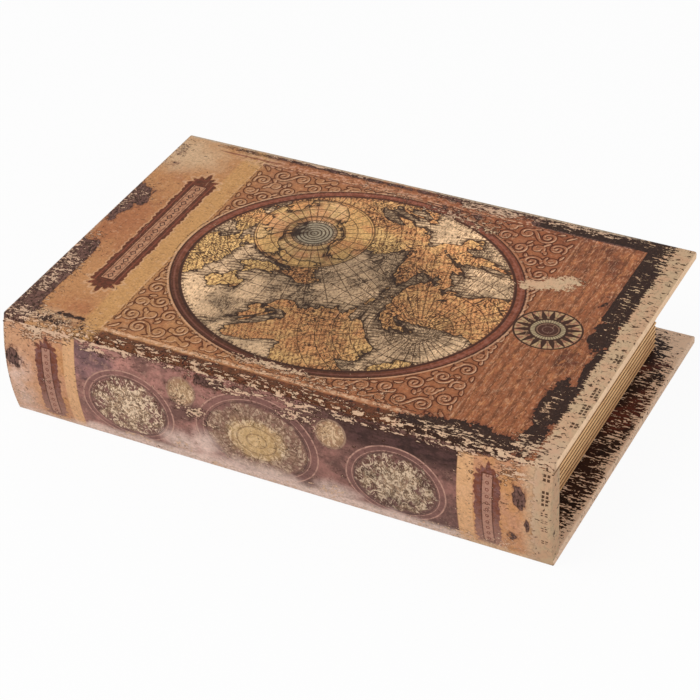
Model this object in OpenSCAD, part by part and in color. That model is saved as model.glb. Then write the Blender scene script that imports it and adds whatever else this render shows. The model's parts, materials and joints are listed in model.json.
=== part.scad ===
// A box made to look like an old bound book. Two cloth-covered boards and a
// rounded spine hold a four-sided tray whose outside is ribbed like page edges.
// The lid board swings on the fold of the cover cloth along the spine's top,
// a line 0.25 mm outside the spine's face, halfway up the gap under the lid.
// X runs along the spine from head to tail, Y from spine to fore edge, Z up.

/* [Boards] */
// Length of the lid, the base and the spine, from head to tail
board_len = 260; // [200:5:330]
// Width of the lid, from the crease at the spine to its fore edge
lid_w = 162; // [130:1:220]
// How far the base stands out past the lid at the fore edge
base_lip = 4; // [0:0.5:8]
// Height of the closed box
box_h = 53; // [40:1:80]
// Thickness of the fibreboard in the lid and the base
board_t = 3; // [2.5:0.5:5]
// Radius of the boards' corners at the fore edge, cloth included
corner_r = 1.5; // [1:0.5:4]

/* [Cover cloth] */
// Thickness of the printed cover cloth
cloth_t = 0.4; // [0.3:0.1:0.6]
// Width of the cloth that is turned in under the lid
lid_turn_in = 16; // [12:1:22]

/* [Spine] */
// How far the spine swells past the creases at mid height
spine_bulge = 4; // [2:0.5:6]
// Depth of the spine behind its creases, to its flat inner face
spine_depth = 5.5; // [4:0.5:9]
// How far the inner hinge cloth reaches under the lid
hinge_reach = 20; // [14:1:30]
// How far the inner hinge cloth hangs down inside the spine
hinge_drop = 12; // [8:1:20]

/* [Tray] */
// Overhang of the boards past the page edges at head and tail
end_inset = 13.5; // [9:0.5:18]
// Overhang of the lid past the page edge at the fore edge
fore_inset = 11.5; // [8:0.5:16]
// Thickness of the tray's walls
wall_t = 6; // [5:0.5:9]
// Thickness of the paper on the walls
lining_t = 0.5; // [0.3:0.1:1]
// Thickness of the lined card on the floor
floor_t = 1; // [0.8:0.1:2]

/* [Page edges] */
// Thickness of a ribbed page edge, from the wall to the tops of its ribs
page_t = 2; // [1.6:0.1:3]
// Distance from one rib to the next
rib_pitch = 2.5; // [2:0.1:4]
// Height of a rib over its groove
rib_depth = 0.7; // [0.4:0.1:0.9]
// Width of the flat groove between two ribs
groove_w = 0.3; // [0.2:0.1:0.6]

/* [Magnets] */
// Diameter of a disc magnet
magnet_d = 4; // [3:0.5:4]
// Thickness of a disc magnet
magnet_t = 2; // [1:0.5:2]
// Distance between the two magnet pairs
magnet_pitch = 120; // [60:5:170]

/* [Clearances] */
// Gap between the closed lid and the tray's rim
lid_gap = 0.2; // [0.1:0.1:0.4]
// Gap round a magnet in its hole
magnet_gap = 0.05; // [0.05:0.05:0.1]
// Gap between the spine's turned-in cloth and the page edges
turn_gap = 0.1; // [0.1:0.1:0.3]

/* [Hidden] */

base_w = lid_w + base_lip;
half_len = board_len / 2;

// Heights, from the surface that the box stands on
bare_z = cloth_t + board_t;
base_top = bare_z + cloth_t;
lid_under = box_h - base_top;
lid_bare_z = lid_under + cloth_t;
rim_z = lid_under - lid_gap;
wall_top = rim_z - lining_t;
floor_z = bare_z + floor_t;
spine_top = rim_z - cloth_t;

// Places across the box, with the spine's swell and the base's lip at equal reach
crease_y = (spine_bulge - base_w) / 2;
swell_y = crease_y - spine_bulge;
spine_in = crease_y + spine_depth - cloth_t;
lid_fore = crease_y + lid_w;
base_fore = crease_y + base_w;
page_fore = lid_fore - fore_inset;
wall_fore = page_fore - page_t;
room_fore = wall_fore - wall_t;

// Places along the box
page_end = half_len - end_inset;
wall_end = page_end - page_t;
room_end = wall_end - wall_t;

// The spine's face is one arc through both creases
spine_r = (pow(box_h / 2, 2) + pow(spine_bulge, 2)) / (2 * spine_bulge);
spine_cy = swell_y + spine_r;

// Ribs fill the page edge's height, centred between the base and the rim
page_h = rim_z - base_top;
rib_count = floor(page_h / rib_pitch);
rib_start = (page_h - rib_count * rib_pitch) / 2;
rib_w = rib_pitch - groove_w;
rib_r = (pow(rib_w / 2, 2) + pow(rib_depth, 2)) / (2 * rib_depth);

// Each magnet pair meets over the middle of the fore-edge wall
magnet_y = wall_fore - wall_t / 2;

round_fn = 64;
spine_fn = 720;

// Draws a profile in Y and Z, from x0 to x1
module along_x(x0, x1) {
    translate([x0, 0, 0])
        rotate([90, 0, 90])
            linear_extrude(height = x1 - x0)
                children();
}

// Draws a profile in X and Z, from y0 to y1
module along_y(y0, y1) {
    translate([0, y1, 0])
        rotate([90, 0, 0])
            linear_extrude(height = y1 - y0)
                children();
}

module block(x0, x1, y0, y1, z0, z1) {
    translate([x0, y0, z0])
        cube([x1 - x0, y1 - y0, z1 - z0]);
}

// The spine's rounded section between two heights, inset from its face, up to y1
module spine_section(inset, z0, z1, y1) {
    intersection() {
        translate([spine_cy, box_h / 2])
            circle(r = spine_r - inset, $fn = spine_fn);
        translate([swell_y, z0])
            square([y1 - swell_y, z1 - z0]);
    }
}

// A board's section: the spine's arc at one edge, flat from there to y1
module board_section(inset, z0, z1, y1) {
    spine_section(inset, z0, z1, spine_in);
    translate([spine_in, z0])
        square([y1 - spine_in, z1 - z0]);
}

// A board seen from above, with rounded corners at its fore edge
module board_plan(inset, fore) {
    half = half_len - inset;
    edge = fore - inset;
    r = corner_r - inset;
    translate([-half, swell_y])
        square([2 * half, edge - r - swell_y]);
    translate([-half + r, swell_y])
        square([2 * (half - r), edge - swell_y]);
    for (side = [-1, 1])
        translate([side * (half - r), edge - r])
            circle(r = r, $fn = round_fn);
}

// A board between two heights, inset by the cloth or not
module board_solid(inset, z0, z1, fore) {
    intersection() {
        along_x(-half_len + inset, half_len - inset)
            board_section(inset, z0, z1, fore);
        translate([0, 0, z0])
            linear_extrude(height = z1 - z0)
                board_plan(inset, fore);
    }
}

module magnet_discs(z0, extra_r) {
    for (side = [-1, 1])
        translate([side * magnet_pitch / 2, magnet_y, z0])
            cylinder(h = magnet_t, r = magnet_d / 2 + extra_r, $fn = round_fn);
}

// A ribbed sheet's section: its back at 0, round-topped ribs up to page_t
module page_section() {
    intersection() {
        union() {
            square([page_t - rib_depth, page_h]);
            for (i = [0 : rib_count - 1])
                translate([page_t - rib_r, rib_start + (i + 0.5) * rib_pitch])
                    circle(r = rib_r, $fn = round_fn);
        }
        square([page_t, page_h]);
    }
}

// Page edge at the tail, mitred where it meets the one at the fore edge
module end_page_edge() {
    intersection() {
        along_y(spine_in, page_fore)
            translate([wall_end, base_top])
                page_section();
        translate([0, 0, base_top])
            linear_extrude(height = page_h)
                polygon([[wall_end, spine_in], [page_end, spine_in],
                         [page_end, page_fore], [wall_end, wall_fore]]);
    }
}

// Paper on the tail wall: down its inner face and over its top
module end_lining() {
    block(room_end - lining_t, room_end, spine_in, room_fore - lining_t, floor_z, rim_z);
    block(room_end, wall_end, spine_in, room_fore - lining_t, wall_top, rim_z);
}

// Base board: plain fibreboard under everything, rounded to the spine's arc
module base_board() {
    color("tan")
        board_solid(cloth_t, cloth_t, bare_z, base_fore);
}

// Cover cloth of the base: underside, edges, and a margin turned in under the walls
module base_wrap() {
    color("peru")
        difference() {
            union() {
                board_solid(0, 0, bare_z, base_fore);
                intersection() {
                    board_solid(0, bare_z, base_top, base_fore);
                    block(-half_len, half_len, spine_in, base_fore, bare_z, base_top);
                }
            }
            board_solid(cloth_t, cloth_t, bare_z, base_fore);
            block(-room_end, room_end, spine_in, room_fore, bare_z, base_top + 1);
        }
}

// Spine: a rounded bar that stands on the base board and carries the hinge
module spine_core() {
    color("burlywood")
        along_x(-half_len + cloth_t, half_len - cloth_t)
            spine_section(cloth_t, bare_z, spine_top, spine_in);
}

// Cover cloth of the spine: its round face, both ends, and the turned-in ends behind
module spine_wrap() {
    color("saddlebrown") {
        difference() {
            along_x(-half_len, half_len)
                spine_section(0, bare_z, spine_top, spine_in);
            along_x(-half_len + cloth_t, half_len - cloth_t)
                spine_section(cloth_t, bare_z, spine_top, spine_in + 1);
        }
        for (side = [0, 1])
            mirror([side, 0, 0])
                block(page_end + turn_gap, half_len, spine_in, spine_in + cloth_t, base_top, spine_top);
    }
}

// Inner hinge cloth on the spine: across its top and a little way down inside
module spine_hinge_cloth() {
    color("sienna") {
        along_x(-half_len, half_len)
            spine_section(0, spine_top, rim_z, spine_in);
        block(-room_end + lining_t, room_end - lining_t, spine_in, spine_in + lining_t,
              spine_top - hinge_drop, rim_z);
    }
}

module tail_wall() {
    color("wheat")
        block(room_end, wall_end, spine_in, room_fore, base_top, wall_top);
}

module head_wall() {
    mirror([1, 0, 0])
        tail_wall();
}

// Fore-edge wall: runs past both end walls and holds a magnet near each third
module fore_edge_wall() {
    color("wheat")
        difference() {
            block(-wall_end, wall_end, room_fore, wall_fore, base_top, wall_top);
            magnet_discs(wall_top - magnet_t, magnet_gap);
        }
}

module tail_page_edge() {
    color("goldenrod")
        end_page_edge();
}

module head_page_edge() {
    color("goldenrod")
        mirror([1, 0, 0])
            end_page_edge();
}

module fore_page_edge() {
    color("darkgoldenrod")
        intersection() {
            along_x(-page_end, page_end)
                translate([wall_fore, base_top])
                    page_section();
            translate([0, 0, base_top])
                linear_extrude(height = page_h)
                    polygon([[-wall_end, wall_fore], [wall_end, wall_fore],
                             [page_end, page_fore], [-page_end, page_fore]]);
        }
}

// Lined card on the floor, let into the base between the turned-in cloth
module floor_lining() {
    color("maroon")
        block(-room_end, room_end, spine_in, room_fore, bare_z, floor_z);
}

module tail_lining() {
    color("brown")
        end_lining();
}

module head_lining() {
    color("brown")
        mirror([1, 0, 0])
            end_lining();
}

module fore_lining() {
    color("brown") {
        block(-room_end, room_end, room_fore - lining_t, room_fore, floor_z, rim_z);
        block(-wall_end, wall_end, room_fore, wall_fore, wall_top, rim_z);
    }
}

// Paper on the spine's inner face, under the hinge cloth
module spine_lining() {
    color("brown")
        block(-room_end + lining_t, room_end - lining_t, spine_in, spine_in + lining_t,
              floor_z, spine_top - hinge_drop);
}

module wall_magnets() {
    color("silver")
        magnet_discs(wall_top - magnet_t, 0);
}

// Lid board: its spine edge carries on the spine's arc, magnet holes underneath
module lid_board() {
    color("tan")
        difference() {
            board_solid(cloth_t, lid_bare_z, box_h - cloth_t, lid_fore);
            magnet_discs(lid_bare_z, magnet_gap);
        }
}

// Cover cloth of the lid: top, all four edges, turned in under three of them
module lid_wrap() {
    color("peru")
        difference() {
            board_solid(0, lid_under, box_h, lid_fore);
            board_solid(cloth_t, lid_bare_z, box_h - cloth_t, lid_fore);
            intersection() {
                board_solid(cloth_t, lid_under - 1, lid_bare_z, lid_fore);
                block(-half_len + lid_turn_in, half_len - lid_turn_in, swell_y,
                      lid_fore - lid_turn_in, lid_under - 1, lid_bare_z);
            }
        }
}

// Inner hinge cloth on the lid: from the fold to its reach under the board
module lid_hinge_cloth() {
    color("sienna")
        intersection() {
            board_solid(cloth_t, lid_under, lid_bare_z, lid_fore);
            block(-half_len + lid_turn_in, half_len - lid_turn_in, swell_y,
                  crease_y + hinge_reach, lid_under, lid_bare_z);
        }
}

module lid_lining() {
    color("brown")
        block(-half_len + lid_turn_in, half_len - lid_turn_in, crease_y + hinge_reach,
              lid_fore - lid_turn_in, lid_under, lid_bare_z);
}

module lid_magnets() {
    color("silver")
        magnet_discs(lid_bare_z, 0);
}

base_board();
base_wrap();
spine_core();
spine_wrap();
spine_hinge_cloth();
head_wall();
tail_wall();
fore_edge_wall();
head_page_edge();
tail_page_edge();
fore_page_edge();
floor_lining();
head_lining();
tail_lining();
fore_lining();
spine_lining();
wall_magnets();
lid_board();
lid_wrap();
lid_hinge_cloth();
lid_lining();
lid_magnets();
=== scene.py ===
import json
import math

import bmesh
import bpy
import numpy as np
from bpy.props import FloatProperty, FloatVectorProperty, PointerProperty
from mathutils import Matrix, Vector


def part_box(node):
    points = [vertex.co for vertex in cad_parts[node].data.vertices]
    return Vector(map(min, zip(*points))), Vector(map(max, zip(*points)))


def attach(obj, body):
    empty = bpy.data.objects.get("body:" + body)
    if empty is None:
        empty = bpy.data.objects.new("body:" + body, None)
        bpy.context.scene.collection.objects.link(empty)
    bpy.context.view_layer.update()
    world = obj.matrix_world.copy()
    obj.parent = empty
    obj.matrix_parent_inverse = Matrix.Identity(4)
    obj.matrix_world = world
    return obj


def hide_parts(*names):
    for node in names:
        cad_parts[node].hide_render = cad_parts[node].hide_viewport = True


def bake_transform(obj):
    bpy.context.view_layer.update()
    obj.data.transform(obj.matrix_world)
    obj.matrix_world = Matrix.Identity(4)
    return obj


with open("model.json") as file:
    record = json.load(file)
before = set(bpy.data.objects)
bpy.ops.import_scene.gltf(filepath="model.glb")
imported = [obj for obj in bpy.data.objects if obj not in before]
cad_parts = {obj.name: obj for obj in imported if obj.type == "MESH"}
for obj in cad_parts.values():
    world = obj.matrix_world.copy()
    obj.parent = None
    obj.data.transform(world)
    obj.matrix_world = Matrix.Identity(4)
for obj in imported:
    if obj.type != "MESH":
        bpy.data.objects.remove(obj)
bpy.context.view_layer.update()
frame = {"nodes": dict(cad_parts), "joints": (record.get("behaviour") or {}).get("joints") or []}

bl_info = {
    "name": "Book Box Finish",
    "version": (1, 0, 0),
    "blender": (4, 5, 0),
    "location": "3D View > Sidebar > Book Box",
    "description": "Worn printed cloth, page edges, linings and a stage for a box like an old book",
    "category": "Object",
}

MM = 0.001

# Places taken from the frame, in millimetres
LID_LO, LID_HI = (np.array(c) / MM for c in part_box("lid_wrap"))
BASE_LO, BASE_HI = (np.array(c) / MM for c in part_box("base_wrap"))
SPINE_LO, SPINE_HI = (np.array(c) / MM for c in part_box("spine_wrap"))
PAGE_LO, PAGE_HI = (np.array(c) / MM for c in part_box("fore_page_edge"))
LINING_LO, LINING_HI = (np.array(c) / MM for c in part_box("lid_lining"))
FLOOR_LO, FLOOR_HI = (np.array(c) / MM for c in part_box("floor_lining"))
BOARD_LO, BOARD_HI = (np.array(c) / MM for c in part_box("lid_board"))
HALF = LID_HI[0]
TOP = LID_HI[2]
LID_UNDER = LID_LO[2]
LID_BARE = BOARD_LO[2]
BASE_TOP = BASE_HI[2]
BASE_BARE = SPINE_LO[2]
CLOTH = LID_BARE - LID_UNDER
SPINE_BACK = SPINE_HI[1]

# The spine's face is one arc: its swell, its middle height and one more point give the radius
SWELL_Y = SPINE_LO[1]
MID_Z = TOP / 2
_rise = BASE_LO[1] - SWELL_Y
_half_chord = MID_Z - BASE_BARE
SPINE_R = (_half_chord**2 + _rise**2) / (2 * _rise)


def spine_y(z):
    """Y of the spine's face at a height: a circle of radius SPINE_R that touches SWELL_Y at mid height."""
    return SWELL_Y + SPINE_R - np.sqrt(SPINE_R**2 - (np.asarray(z) - MID_Z) ** 2)


CREASE_Y = float(spine_y(TOP))

# The lid's hinge line, from the joint
FOLD_Z = frame["joints"][0]["pos_m"][2] / MM

# Cover cloth, in millimetres: how far it goes in behind the spine's ends, its corner radii there and at a
# board's inner edge, and the hairs between its back and a board, its middle and a board, and spine and lid
TURN_IN = SPINE_HI[0] - PAGE_HI[0] - 0.1
BACK_ROUND = 0.45
INNER_ROUND = 0.7
BACK_GAP = 0.03
BOARD_GAP = 0.02
LID_GAP = 0.12

# The bare weave at the fold stops this short of the ends, and the base's mesh points are this far apart
WEAVE_END_GAP = 0.6
BASE_STEP = 2.0

# The strip over the fold, in millimetres: half its height, how proud it stands at the fold and at its
# borders, how deep its back lies, where it stops short of the ends, and half the height that bends
FOLD_REACH = 1.3
FOLD_PROUD = 0.09
FOLD_SKIN = 0.012
FOLD_SUNK = 0.02
FOLD_END_GAP = 0.25

# Distance between two ribs of the page edges
RIB_PITCH = 2.5

# Distances to a printed line are kept only up to this
FAR = 9.0

# Print layout on the lid, from the head edge (u) and the crease (v), in millimetres
HEAD_X = -HALF
DIAL_U, DIAL_V = 126.8, 81.2
DIAL_A, DIAL_B = 80.6, 69.6
ROSE_U, ROSE_V = 222.6, 81.6
FRAME_U = (47.0, 209.0)
FRAME_V = (8.6, 151.6)
TITLE_U = 28.6
TITLE_V = (28.6, 133.6)
TITLE_WAIST = 6.0
LIT_SHIFT = 0.55
LID_MARKS_U = 257.4
LID_MARKS = ((26.0, 1.9), (37.0, 3.8), (49.0, 3.8), (72.5, 4.8))

# Print layout on the spine, from the head end (u) and up from the underside (z), in millimetres
SPINE_TITLES_U = (22.2, 232.4)
SPINE_TITLE_Z = 23.3
SPINE_TITLE_HALF = 24.2
SPINE_TITLE_WAIST = 4.9
SPINE_MARKS_U = 257.3
SPINE_MARKS = ((46.8, 1.9), (37.4, 3.8), (29.6, 0.9), (25.8, 0.7), (21.6, 0.9), (14.5, 0.9))

# Each roundel on the spine is its centre, its half width and height, and its kind
ROUNDELS = (
    (63.0, 22.5, 23.0, 18.6, "leaf"), (191.5, 22.5, 23.0, 19.0, "leaf"), (126.6, 24.5, 29.7, 22.6, "sun"),
    (90.5, 39.0, 7.4, 7.0, "small"), (162.0, 39.0, 7.4, 7.0, "small"),
)


def srgb(colour):
    """A given colour, as the linear light that the shader wants."""
    c = np.asarray(colour[:3], float)
    linear = np.where(c <= 0.04045, c / 12.92, ((c + 0.055) / 1.055) ** 2.4)
    return (*[float(x) for x in linear], 1.0)


def toned(colour, factor):
    """A colour made darker or lighter by a factor."""
    return np.minimum(np.array(colour[:]) * factor, 1)


def ink(name, red, green, blue, words):
    return FloatVectorProperty(
        name=name, description=words, subtype="COLOR_GAMMA", size=3, min=0, max=1,
        default=(red / 255, green / 255, blue / 255),
    )


class BookBoxCover(bpy.types.PropertyGroup):
    """Sizes of the cover cloth and the inks that it is printed in."""

    edge_round: FloatProperty(
        name="Edge rounding", description="Radius of the cloth round a board's edge",
        default=1.0 * MM, min=0.3 * MM, max=1.5 * MM, unit="LENGTH", precision=5,
    )
    case_round: FloatProperty(
        name="Case rounding", description="Radius of the cloth at the spine's ends and round the base",
        default=0.6 * MM, min=0.5 * MM, max=1.5 * MM, unit="LENGTH", precision=5,
    )
    grid_step: FloatProperty(
        name="Grid step", description="Distance between the printed faces' mesh points",
        default=0.75 * MM, min=0.7 * MM, max=4 * MM, unit="LENGTH", precision=5,
    )
    cream: ink("Bare cloth", 212, 180, 144, "Bare cream cloth where the print has rubbed off")
    peach: ink("Peach", 216, 173, 138, "Pinkish cream of scuffs and of light lines in the print")
    tan: ink("Tan ground", 188, 134, 88, "Tan ground of the print")
    rust: ink("Orange-brown ground", 172, 112, 74, "Orange-brown patches of the ground")
    terracotta: ink("Terracotta ground", 156, 93, 60, "Red-brown ground towards the tail")
    maroon: ink("Maroon", 108, 56, 42, "Rings, title frames and borders")
    plum: ink("Plum", 97, 68, 61, "Purple-brown panel of the spine and blots at the head")
    slate: ink("Slate", 31, 20, 15, "Burnt bands and blots")
    line: ink("Line brown", 53, 29, 15, "Fine engraved lines")
    sea: ink("Chart ground", 194, 161, 126, "Grey-beige ground of the chart")
    ochre: ink("Chart ochre", 212, 168, 106, "Ochre patches of the chart")
    orange: ink("Chart orange", 196, 135, 86, "Orange-brown patches of the chart")
    mauve: ink("Ring mauve", 168, 128, 112, "Ring lines on the spine")
    khaki: ink("Khaki", 184, 152, 122, "Leafy mottle of the roundels")


class BookBoxInside(bpy.types.PropertyGroup):
    """Colours of the page edges, the tray and its hidden parts."""

    page_light: ink("Page ribs", 255, 203, 145, "Tops of the page edge's ribs")
    page_dark: ink("Page grooves", 82, 40, 16, "Grooves between the ribs")
    lining: ink("Lining paper", 78, 50, 36, "Paper on the tray's walls and under the lid")
    flock: ink("Floor flock", 70, 38, 30, "Flocked card on the tray's floor")
    hinge: ink("Hinge cloth", 60, 42, 34, "Inner hinge cloth")
    board: ink("Fibreboard", 170, 132, 92, "Raw fibreboard under the cloth")
    nickel: ink("Nickel", 200, 198, 190, "Plated magnets")


class BookBoxStage(bpy.types.PropertyGroup):
    """Camera, lamps and floor."""

    camera_at: FloatVectorProperty(
        name="Camera", description="Where the camera stands", subtype="TRANSLATION", unit="LENGTH",
        size=3, default=(0.37992, -0.68939, 0.59798),
    )
    camera_aim: FloatVectorProperty(
        name="Aim", description="Point that the camera looks at", subtype="TRANSLATION", unit="LENGTH",
        size=3, default=(0.00046, -0.00661, 0.020),
    )
    camera_roll: FloatProperty(
        name="Roll", description="Turn of the camera about its view", subtype="ANGLE",
        default=math.radians(-3.34),
    )
    focal_length: FloatProperty(
        name="Focal length", description="Lens of the camera on a 36 mm wide sensor, in millimetres",
        default=112.08, min=20, max=300,
    )
    key_power: FloatProperty(
        name="Key lamp", description="Power of the large soft lamp", default=9.0, min=0,
        subtype="POWER", unit="POWER",
    )
    fill_power: FloatProperty(
        name="Fill lamp", description="Power of the lamp on the spine's side", default=4.0, min=0,
        subtype="POWER", unit="POWER",
    )
    sky: FloatProperty(
        name="Sky light", description="Strength of the even light from all round", default=0.55, min=0,
    )


class BookBoxSettings(bpy.types.PropertyGroup):
    """Everything that a user of the book box may change."""

    cover: PointerProperty(type=BookBoxCover)
    inside: PointerProperty(type=BookBoxInside)
    stage: PointerProperty(type=BookBoxStage)


# Node graphs, written as formulas
class Wire:
    """One value in a material's node graph. Sums and products of wires and numbers make Math nodes."""

    def __init__(self, graph, socket):
        self.graph = graph
        self.socket = socket

    def __add__(self, other):
        return self.graph.math("ADD", self, other)

    def __radd__(self, other):
        return self.graph.math("ADD", other, self)

    def __sub__(self, other):
        return self.graph.math("SUBTRACT", self, other)

    def __rsub__(self, other):
        return self.graph.math("SUBTRACT", other, self)

    def __mul__(self, other):
        return self.graph.math("MULTIPLY", self, other)

    def __rmul__(self, other):
        return self.graph.math("MULTIPLY", other, self)

    def __truediv__(self, other):
        return self.graph.math("DIVIDE", self, other)

    def __abs__(self):
        return self.graph.math("ABSOLUTE", self)


class Graph:
    """A material's node graph on a piece's own object coordinates, in millimetres."""

    def __init__(self, name):
        self.material = bpy.data.materials.new(name)
        self.material.use_nodes = True
        self.tree = self.material.node_tree
        self.tree.nodes.clear()
        place = self.node("ShaderNodeTexCoord", {}, out="Object")
        self.p = self.node("ShaderNodeVectorMath", {0: place, "Scale": 1 / MM}, operation="SCALE")
        self.x, self.y, self.z = (self.node("ShaderNodeSeparateXYZ", {0: self.p}, out=i) for i in range(3))

    def node(self, kind, inputs, out=0, **settings):
        """Adds a node, sets or links its inputs, and gives back one of its outputs."""
        made = self.tree.nodes.new(kind)
        for key, value in settings.items():
            setattr(made, key, value)
        for key, value in inputs.items():
            if isinstance(value, Wire):
                self.tree.links.new(value.socket, made.inputs[key])
            else:
                made.inputs[key].default_value = value
        return Wire(self, made.outputs[out]) if made.outputs else made

    def math(self, operation, a, b=0.0, c=0.0):
        return self.node("ShaderNodeMath", {0: a, 1: b, 2: c}, operation=operation)

    def least(self, *values):
        """The smallest of several values."""
        low = values[0]
        for value in values[1:]:
            low = self.math("MINIMUM", low, value)
        return low

    def most(self, *values):
        """The largest of several values."""
        high = values[0]
        for value in values[1:]:
            high = self.math("MAXIMUM", high, value)
        return high

    def ramp_up(self, value, low, high):
        """0 below low, 1 above high, and a smooth S between them."""
        return self.node("ShaderNodeMapRange", {0: value, 1: low, 2: high}, interpolation_type="SMOOTHSTEP")

    def inside(self, value, edge, soft):
        """1 where value is under edge, 0 above it, soft over the given width."""
        return 1.0 - self.ramp_up(value, edge - soft, edge + soft)

    def band(self, value, centre, half, soft):
        """1 within half of centre, soft at both sides."""
        return self.inside(abs(value - centre), half, soft)

    def length(self, a, b):
        """The length of the vector (a, b)."""
        return self.math("SQRT", a * a + b * b)

    def repeat(self, value, pitch):
        """Distance to the nearest whole multiple of pitch."""
        return self.math("PINGPONG", value, pitch / 2)

    def noise(self, size, detail=3.0, rough=0.5, distort=0.0, shift=0.0):
        """Cloudy noise about 0.5 whose blotches are about size millimetres, one size or one for each axis."""
        sizes = np.broadcast_to(np.asarray(size, float), 3)
        scaled = self.node(
            "ShaderNodeVectorMath", {0: self.p, 1: tuple(1 / sizes), 2: (shift, shift * 0.7, shift * 0.3)},
            operation="MULTIPLY_ADD",
        )
        return self.node("ShaderNodeTexNoise", {
            "Vector": scaled, "Scale": 1.0, "Detail": detail, "Roughness": rough, "Distortion": distort,
        })

    def field(self, name):
        """A value worked out at each mesh point of the piece."""
        return self.node("ShaderNodeAttribute", {}, out="Fac", attribute_name=name)

    def mix(self, amount, a, b):
        """Colour a where amount is 0 and colour b where it is 1. Each is a wire or a given colour."""
        a, b = (colour if isinstance(colour, Wire) else srgb(colour) for colour in (a, b))
        return self.node("ShaderNodeMix", {0: amount, 6: a, 7: b}, out=2, data_type="RGBA")

    def layers(self, ground, *coats):
        """Lays coats over a ground colour, one after another. Each coat is its amount and its colour."""
        for amount, colour in coats:
            ground = self.mix(amount, ground, colour)
        return ground

    def shade(self, amount, colour, factor):
        """Darkens or lightens a colour by a factor, by amount."""
        grey = self.node("ShaderNodeCombineColor", {0: factor, 1: factor, 2: factor})
        return self.node(
            "ShaderNodeMix", {0: amount, 6: colour, 7: grey}, out=2, data_type="RGBA", blend_type="MULTIPLY"
        )

    def surface(self, colour, roughness, height=None, depth=0.05, **fixed):
        """Ends the graph in one shader. Height is in units of depth millimetres."""
        inputs = {"Base Color": colour, "Roughness": roughness, "Specular IOR Level": 0.12, **fixed}
        if height is not None:
            inputs["Normal"] = self.node(
                "ShaderNodeBump", {"Height": height, "Distance": depth * MM, "Strength": 1.0}
            )
        shader = self.node("ShaderNodeBsdfPrincipled", inputs)
        self.node("ShaderNodeOutputMaterial", {"Surface": shader})
        return self.material


# Meshes, worked out as whole arrays
def make_piece(name, points, faces, material, body=None):
    """A mesh object from points in millimetres. Doubles are merged and the faces turned outwards."""
    mesh = bpy.data.meshes.new(name)
    mesh.from_pydata((np.asarray(points) * MM).tolist(), [], faces)
    work = bmesh.new()
    work.from_mesh(mesh)
    bmesh.ops.remove_doubles(work, verts=work.verts, dist=1e-7)
    bmesh.ops.recalc_face_normals(work, faces=work.faces)
    work.to_mesh(mesh)
    work.free()
    mesh.polygons.foreach_set("use_smooth", np.ones(len(mesh.polygons), bool))
    mesh.set_sharp_from_angle(angle=math.radians(50))
    mesh.materials.append(material)
    piece = bpy.data.objects.new(name, mesh)
    bpy.context.scene.collection.objects.link(piece)
    if body:
        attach(piece, body)
    return piece


def points_of(piece):
    """A piece's mesh points in millimetres, one row each."""
    flat = np.zeros(len(piece.data.vertices) * 3, np.float32)
    piece.data.vertices.foreach_get("co", flat)
    return flat.reshape(-1, 3).astype(float) / MM


def centres_of(piece):
    """The middles of a piece's faces in millimetres, one row each."""
    flat = np.zeros(len(piece.data.polygons) * 3, np.float32)
    piece.data.polygons.foreach_get("center", flat)
    return flat.reshape(-1, 3).astype(float) / MM


def write_fields(piece, fields):
    """Keeps one number for each mesh point under each field's name, for the material to read."""
    for name, values in fields.items():
        layer = piece.data.attributes.new(name, "FLOAT", "POINT")
        layer.data.foreach_set("value", np.asarray(values, np.float32))


def cover_faces(piece, material, chosen):
    """Adds a material to a piece, for the chosen faces only."""
    slots = np.zeros(len(piece.data.polygons), np.int32)
    piece.data.polygons.foreach_get("material_index", slots)
    slots[chosen] = len(piece.data.materials)
    piece.data.materials.append(material)
    piece.data.polygons.foreach_set("material_index", slots)


def grid_faces(rows, columns, start=0):
    """Quads between neighbours of a rows by columns grid whose points are numbered along its rows."""
    first = start + np.arange(rows - 1)[:, None] * columns + np.arange(columns - 1)[None, :]
    return np.stack([first, first + 1, first + columns + 1, first + columns], -1).reshape(-1, 4)


def smooth(value, low, high):
    """0 below low, 1 above high, and a smooth S between them."""
    t = np.clip((value - low) / (high - low), 0, 1)
    return t * t * (3 - 2 * t)


def falling(value, low, high):
    """1 below low, 0 above high, and a smooth S between them."""
    return smooth(-value, -high, -low)


def hill(distance, width, height):
    """A round hill of the given height where distance is 0, about twice width across."""
    return height * np.exp(-((distance / width) ** 2))


def blots(u, v, spots):
    """The highest of several round hills. Each spot is its centre, its two radii and its height."""
    total = np.zeros_like(u)
    for cu, cv, ru, rv, height in spots:
        total = np.maximum(total, height * np.exp(-(((u - cu) / ru) ** 2 + ((v - cv) / rv) ** 2)))
    return total


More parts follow.
